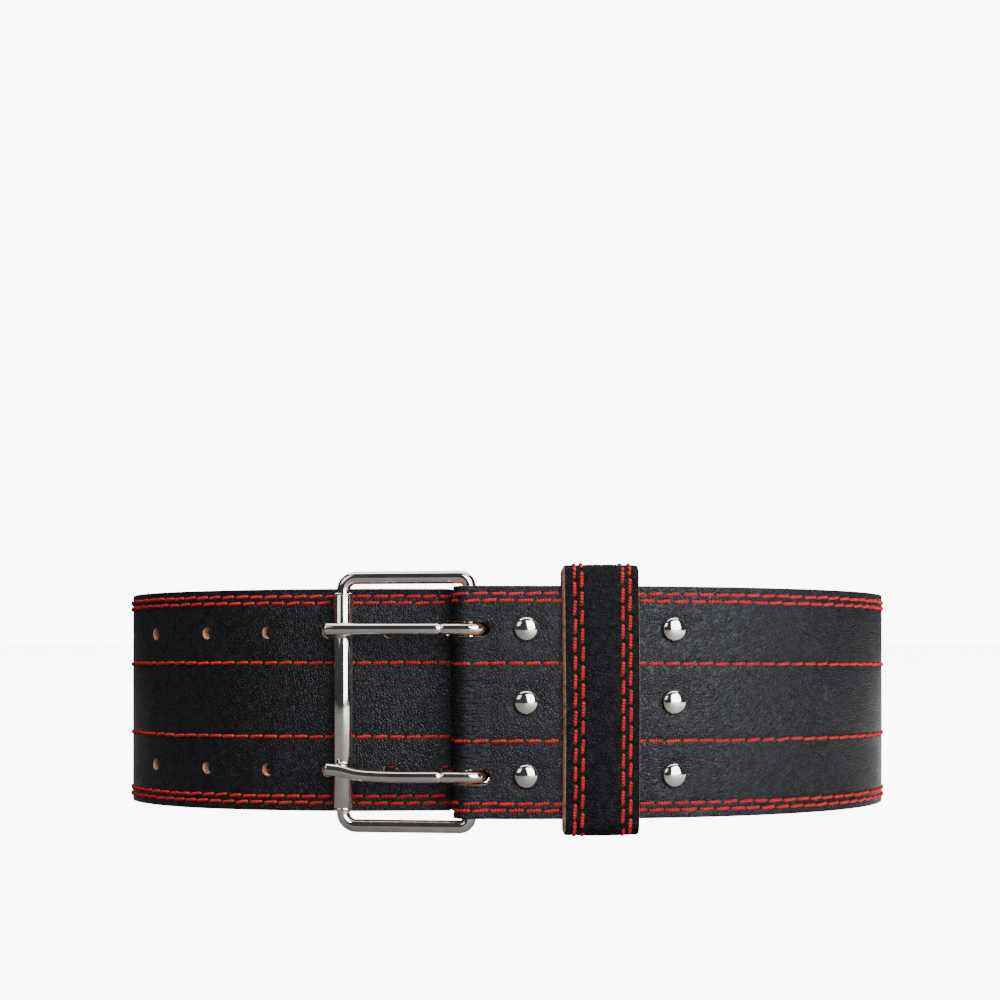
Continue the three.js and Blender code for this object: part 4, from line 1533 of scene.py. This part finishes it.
@dataclass
class BucklePieces:
    """Frame, roller and prongs, modelled with x towards the tips, y outwards and z up."""

    sizes: BeltSizes
    loop: Loop
    finishes: Finishes
    left_corner: float = 5.8
    right_corner: float = 4.4
    wire_sides: int = 28
    corner_rings: int = 9
    tail_drop: float = 2.6
    tail_points: int = 24
    nose: tuple[tuple[float, float], ...] = ((1.15, 0.3), (1.02, 0.56), (0.72, 0.82), (0.36, 0.95))

    def seat(self) -> Matrix:
        """Matrix from the buckle's own directions to the standing belt."""
        sizes, loop = self.sizes, self.loop
        bar = np.array(loop.bend(np.array(0.0), np.array(sizes.bar_level)))
        reaches = np.linspace(sizes.frame_span * 0.95, sizes.frame_span * 1.05, 2001)
        x, y = loop.bend(-reaches, np.full_like(reaches, sizes.bar_level))
        gap = np.abs(np.hypot(x - bar[0], y - bar[1]) - sizes.frame_span)
        best = int(gap.argmin())
        along = Vector((x[best] - bar[0], y[best] - bar[1], 0)).normalized()
        outward = along.cross(Vector((0, 0, 1))).normalized()
        if outward.y > 0:
            outward.negate()
        return loop.matrix(Vector((bar[0], bar[1], 0)), along, outward)

    def finish(self, piece: bpy.types.Object, node: str) -> bpy.types.Object:
        """Give a metal piece its place, finish and node."""
        carry(piece, self.seat())
        face_outwards(piece)
        piece.data.materials.append(self.finishes.nickel)
        smooth(piece)
        return hand_over(piece, (node,))

    def frame(self) -> bpy.types.Object:
        """Wire bent into a rectangle round the strap's width."""
        sizes = self.sizes
        low = -sizes.frame_gap - sizes.frame_wire / 2
        high = sizes.strap_width - low
        span, left, right = sizes.frame_span, self.left_corner, self.right_corner
        corners = [
            (right, low + right, right, math.pi),
            (span - left, low + left, left, 1.5 * math.pi),
            (span - left, high - left, left, 0.0),
            (right, high - right, right, 0.5 * math.pi),
        ]
        stations = []
        for t, z, radius, start in corners:
            for angle in np.linspace(start, start + math.pi / 2, self.corner_rings):
                out = Vector((math.cos(angle), 0, math.sin(angle)))
                ahead = Vector((-math.sin(angle), 0, math.cos(angle)))
                turn = Matrix((out, ahead.cross(out), ahead)).transposed().to_4x4()
                stations.append(Matrix.Translation(Vector((t, 0, z)) + out * radius) @ turn)
        stations.append(stations[0])
        section = circle(self.wire_sides, sizes.frame_wire / 2)
        return self.finish(sweep("buckle_wire_frame", section, stations, closed=True), "buckle_frame")

    def roller(self) -> bpy.types.Object:
        """Rolled tube on the frame's left bar, with turned-in ends."""
        sizes = self.sizes
        half = (sizes.strap_width - sizes.roller_short) / 2
        outer, bore = sizes.roller_radius, sizes.frame_wire / 2 + 0.12
        rim = [
            (bore, 0.1), (bore + 0.3, 0.0), (outer - 0.35, 0.0), (outer - 0.08, 0.14), (outer, 0.4),
            (outer, 0.85), (outer - 0.12, 1.0), (outer - 0.12, 1.15), (outer, 1.35),
        ]
        profile = [(r, rise - half) for r, rise in rim] + [(outer, 0.0)]
        profile += [(r, half - rise) for r, rise in reversed(rim)] + [(bore, rim[0][1] - half)]
        rings = [Matrix.Translation((0, 0, z)) @ Matrix.Diagonal((r, r, 1, 1)) for r, z in profile]
        piece = sweep("buckle_roller", circle(48), rings, closed=True)
        carry(piece, Matrix.Translation((sizes.frame_span, 0, sizes.middle)))
        return self.finish(piece, "roller")

    def prong_line(self, tip_lift: float, height: float) -> tuple[Array, Array]:
        """Middle line of a prong from its tip to the cut end of its wrap, and its radii.

        Args:
            tip_lift: how far the tip is bent up.
            height: height of the shank.

        Returns:
            Points in the buckle's own directions, and the wire's radius at each.
        """
        sizes = self.sizes
        wire = sizes.prong_wire / 2
        over = sizes.roller_radius + sizes.clearance + wire
        wrap, span = sizes.wrap_radius, sizes.frame_span
        tip = span + sizes.roller_radius + sizes.prong_overhang - self.nose[0][0]
        table = [
            (tip, over - 0.4, 1.0), (span, over, 0.8), (span * 0.86, over, 0.25),
            (span * 0.6, wrap + 0.9, 0.0), (span * 0.25, wrap + 0.3, 0.0),
        ]
        for angle in range(90, -121, -30):
            turn = math.radians(angle)
            table.append((-wrap * math.cos(turn), wrap * math.sin(turn), 0.0))
        table.append((wrap * 1.1, -wrap * 0.3, 0.0))
        table.append((sizes.prong_wrap_reach, wrap * 0.16, 0.0))
        knots = np.array(table)
        line = smooth_line(knots, 14)
        points = np.stack([line[:, 0], line[:, 1], height + tip_lift * line[:, 2]], axis=-1)
        points[-self.tail_points:, 2] -= self.tail_drop * np.linspace(0, 1, self.tail_points) ** 1.4
        run = np.concatenate([[0], np.cumsum(np.linalg.norm(np.diff(points, axis=0), axis=1))])
        radii = wire * (1 + 0.1 * np.exp(-((run / 7.0) ** 2)))
        notch = np.interp(sizes.prong_wrap_reach + 0.8, points[::-1, 0][-60:], run[::-1][-60:])
        radii *= 1 - 0.2 * np.exp(-(((run - notch) / 0.45) ** 2))
        radii *= np.where((run > notch) & (run < notch + 12), 0.95, 1.0)
        return points, radii

    def prong(self, index: int, name: str) -> bpy.types.Object:
        """Prong with a blunt tip, wrapped round the bar."""
        sizes = self.sizes
        height = sizes.middle + sizes.prong_heights[index]
        points, radii = self.prong_line(sizes.prong_tip_lifts[index], height)
        ahead = (points[0] - points[1]) / np.linalg.norm(points[0] - points[1])
        stations = stations_along(points, radii, Vector((0, 0, 1)))
        turn = stations[0].to_quaternion().to_matrix().to_4x4()
        head = []
        for out, share in self.nose:
            size = Matrix.Diagonal((radii[0] * share, radii[0] * share, 1, 1))
            head.append(Matrix.Translation(Vector(points[0] + ahead * out)) @ turn @ size)
        return self.finish(sweep(f"{name}_wire", circle(self.wire_sides), head + stations), name)

    def build(self) -> list[bpy.types.Object]:
        """Model the whole buckle."""
        return [self.frame(), self.roller(), self.prong(0, "prong_upper"), self.prong(1, "prong_lower")]


def smooth_line(knots: Array, steps: int) -> Array:
    """Points of a smooth curve through the knots.

    Args:
        knots: rows to pass through.
        steps: points between two knots.

    Returns:
        The curve's points.
    """
    padded = np.concatenate([2 * knots[:1] - knots[1:2], knots, 2 * knots[-1:] - knots[-2:-1]])
    found = []
    for i in range(1, len(padded) - 2):
        before, start, stop, after = padded[i - 1: i + 3]
        pairs = ((before, start), (start, stop), (stop, after))
        a, b, c = (math.sqrt(max(np.linalg.norm(q - p), 1e-6)) for p, q in pairs)
        leave = (stop - start) + b * ((start - before) / a - (stop - before) / (a + b))
        reach = (stop - start) + b * ((after - stop) / c - (after - start) / (b + c))
        for t in np.arange(steps) / steps:
            far = 3 * t ** 2 - 2 * t ** 3
            bend = (t ** 3 - 2 * t ** 2 + t) * leave + (t ** 3 - t ** 2) * reach
            found.append((1 - far) * start + far * stop + bend)
    found.append(knots[-1])
    return np.array(found)


@dataclass
class RivetPieces:
    """Six rivets in two columns: a domed cap outside and a ringed cap inside."""

    sizes: BeltSizes
    loop: Loop
    finishes: Finishes
    sides: int = 40
    shank: float = 2.0
    cap: tuple[tuple[float, float], ...] = (
        (0.94, -0.16), (1.0, -0.04), (1.0, 0.1), (0.97, 0.24), (0.9, 0.43), (0.79, 0.62),
        (0.64, 0.79), (0.46, 0.91), (0.26, 0.975), (0.08, 1.0),
    )
    back: tuple[tuple[float, float], ...] = (
        (0.95, -0.2), (1.0, 0.05), (0.98, 0.45), (0.92, 0.78), (0.84, 0.95), (0.74, 0.9), (0.66, 0.66),
        (0.58, 0.5), (0.4, 0.46), (0.2, 0.5), (0.06, 0.52),
    )

    def profile(self, station: float) -> list[tuple[float, float]]:
        """Radius and height of each ring from the inner cap's top to the outer cap's top."""
        sizes = self.sizes
        seat = sizes.half_leather + sizes.clearance
        level = float(level_at(sizes.tab_levels(), np.array([station]))[0])
        back_seat = level - sizes.half_leather - sizes.clearance
        back_radius, cap_radius = sizes.rivet_back / 2, sizes.rivet_cap / 2
        rings = [(r * back_radius, back_seat - h * sizes.rivet_back_height) for r, h in reversed(self.back)]
        rings += [(self.shank, back_seat + 0.4), (self.shank, seat - 0.5)]
        rings += [(r * cap_radius, seat + h * sizes.rivet_cap_height) for r, h in self.cap]
        return rings

    def build(self) -> list[bpy.types.Object]:
        """Model the six rivets."""
        made = []
        for column, station in enumerate(self.sizes.rivet_stations, start=1):
            for row, name in ((-1, "bottom"), (0, "middle"), (1, "top")):
                node = f"rivet_{column}_{name}"
                piece = turned(f"{node}_turned", self.profile(station), self.sides)
                x, y = self.loop.bend(np.array(float(station)), np.array(0.0))
                far_x, far_y = self.loop.bend(np.array(float(station)), np.array(1.0))
                outward = Vector((float(far_x - x), float(far_y - y), 0)).normalized()
                along = outward.cross(Vector((0, 0, 1)))
                height = self.sizes.middle + row * self.sizes.rivet_row_spacing
                carry(piece, self.loop.matrix(Vector((float(x), float(y), height)), along, outward))
                face_outwards(piece)
                piece.data.materials.append(self.finishes.nickel)
                smooth(piece, 50.0)
                made.append(hand_over(piece, (node,)))
        return made


# Studio

@dataclass(frozen=True)
class Softbox:
    """Soft rectangular light that faces the belt, in metres and watts."""

    name: str
    place: tuple[float, float, float]
    size: tuple[float, float]
    power: float
    target: tuple[float, float, float] = (0.0, 0.0, 0.05)

    def build(self) -> None:
        """Hang the light."""
        data = bpy.data.lights.new(self.name, "AREA")
        data.shape = "RECTANGLE"
        data.size, data.size_y = self.size
        data.energy = self.power
        lamp = bpy.data.objects.new(self.name, data)
        bpy.context.scene.collection.objects.link(lamp)
        lamp.location = self.place
        way = Vector(self.target) - Vector(self.place)
        lamp.rotation_euler = way.to_track_quat("-Z", "Y").to_euler()


@dataclass
class Studio:
    """Camera, floor and soft lights."""

    loop: Loop
    focal_px: float = 1441.0
    image_px: float = 1000.0
    zero_px: float = 507.0
    horizon_px: float = 667.0
    sensor: float = 36.0
    distance: float = 745.7
    eye_height: float = 66.2
    paleness: float = 9.5
    floor_dark: float = 0.15
    floor_light: float = 0.85
    floor_seen: float = 0.88
    dimness: float = 0.06
    lights: tuple[Softbox, ...] = (
        Softbox("front_softbox", (0.7, -1.3, 0.75), (1.3, 1.5), 60),
        Softbox("left_softbox", (-1.1, -0.9, 0.9), (0.9, 0.7), 5),
        Softbox("overhead_softbox", (0.0, 0.0, 1.6), (2.0, 0.9), 20),
        Softbox("back_softbox", (0.2, 1.9, 1.3), (1.6, 0.7), 12),
        Softbox("label_softbox", (-0.4, 1.5, 1.1), (1.2, 0.9), 26),
    )

    def camera(self) -> None:
        """Camera at the photograph's angle to the buckle side."""
        data = bpy.data.cameras.new("camera")
        camera = bpy.data.objects.new("camera", data)
        bpy.context.scene.collection.objects.link(camera)
        data.sensor_width = self.sensor
        data.lens = self.focal_px / self.image_px * self.sensor
        data.shift_x = -(self.zero_px - self.image_px / 2) / self.image_px
        data.shift_y = (self.horizon_px - self.image_px / 2) / self.image_px
        data.clip_start, data.clip_end = 0.02, 50
        eye = self.loop.stand(np.array(0.0), np.array(-self.distance), np.array(self.eye_height))
        camera.location = Vector(eye)
        camera.rotation_euler = (math.pi / 2 - self.loop.lean, 0, 0)
        bpy.context.scene.camera = camera

    def floor(self) -> None:
        """Pale floor."""
        select_none()
        bpy.ops.mesh.primitive_plane_add(size=12)
        floor = bpy.context.view_layer.objects.active
        floor.name = "studio_floor"
        material = bpy.data.materials.new("pale_floor")
        material.use_nodes = True
        nodes = Nodes(material.node_tree)
        seen = nodes.add("ShaderNodeLightPath").outputs["Is Camera Ray"]
        place = nodes.add("ShaderNodeTexCoord").outputs["Object"]
        right = nodes.add("ShaderNodeSeparateXYZ", {"Vector": place}).outputs["X"]
        bounce = nodes.blend(nodes.ramp(right, -0.1, 0.4), grey(self.floor_dark), grey(self.floor_light))
        colour = nodes.blend(seen, bounce, grey(self.floor_seen))
        finish_surface(nodes, {
            "Base Color": colour, "Roughness": 0.75, "Specular IOR Level": 0.2, "Emission Color": grey(1.0),
            "Emission Strength": nodes.math("MULTIPLY", seen, self.paleness - 1.2),
        })
        floor.data.materials.append(material)

    def world(self) -> None:
        """Pale surroundings, darker where only reflections look."""
        world = bpy.data.worlds.new("studio_world")
        bpy.context.scene.world = world
        world.use_nodes = True
        nodes = Nodes(world.node_tree)
        ray = nodes.add("ShaderNodeLightPath")
        pale = nodes.add("ShaderNodeBackground", {"Color": grey(1.0), "Strength": self.paleness})
        cool = {"Color": (0.85, 0.92, 1.0, 1.0), "Strength": self.dimness}
        dim = nodes.add("ShaderNodeBackground", cool)
        choice = {0: ray.outputs["Is Camera Ray"], 1: dim.outputs[0], 2: pale.outputs[0]}
        mix = nodes.add("ShaderNodeMixShader", choice)
        nodes.add("ShaderNodeOutputWorld", {"Surface": mix.outputs[0]})

    def build(self) -> None:
        """Set the whole studio up."""
        self.camera()
        self.floor()
        self.world()
        for light in self.lights:
            light.build()


def main() -> None:
    """Build the belt and the studio, and report each piece."""
    logging.basicConfig(level=logging.INFO, format="%(name)s %(message)s")
    sizes = BeltSizes()
    loop = Loop(sizes)
    line = StrapLine(sizes, loop)
    finishes = Finishes()
    Studio(loop).build()
    strap = StrapPiece(sizes, loop, line, finishes)
    keeper = KeeperPiece(sizes, loop, finishes)
    patch = PatchPiece(sizes, loop, finishes)
    strap.build()
    keeper.build()
    patch.build()
    BucklePieces(sizes, loop, finishes).build()
    RivetPieces(sizes, loop, finishes).build()
    seams = strap.stitch_spots(patch)
    Stitches("strap_stitches_outside", LONG_STITCH, finishes, 11).build(seams, strap.on_grain)
    Stitches("strap_stitches_inside", FLESH_STITCH, finishes, 12).build(seams, strap.on_flesh, under=True)
    round_keeper = Stitches("keeper_stitches", LONG_STITCH, finishes, 13, jitter=0.1)
    round_keeper.build(keeper.stitch_spots(), keeper.on_face)
    round_patch = Stitches("patch_stitches", PATCH_STITCH, finishes, 14, jitter=0.05)
    round_patch.build(patch.stitch_spots(), patch.on_face)


if __name__ == "__main__":
    main()
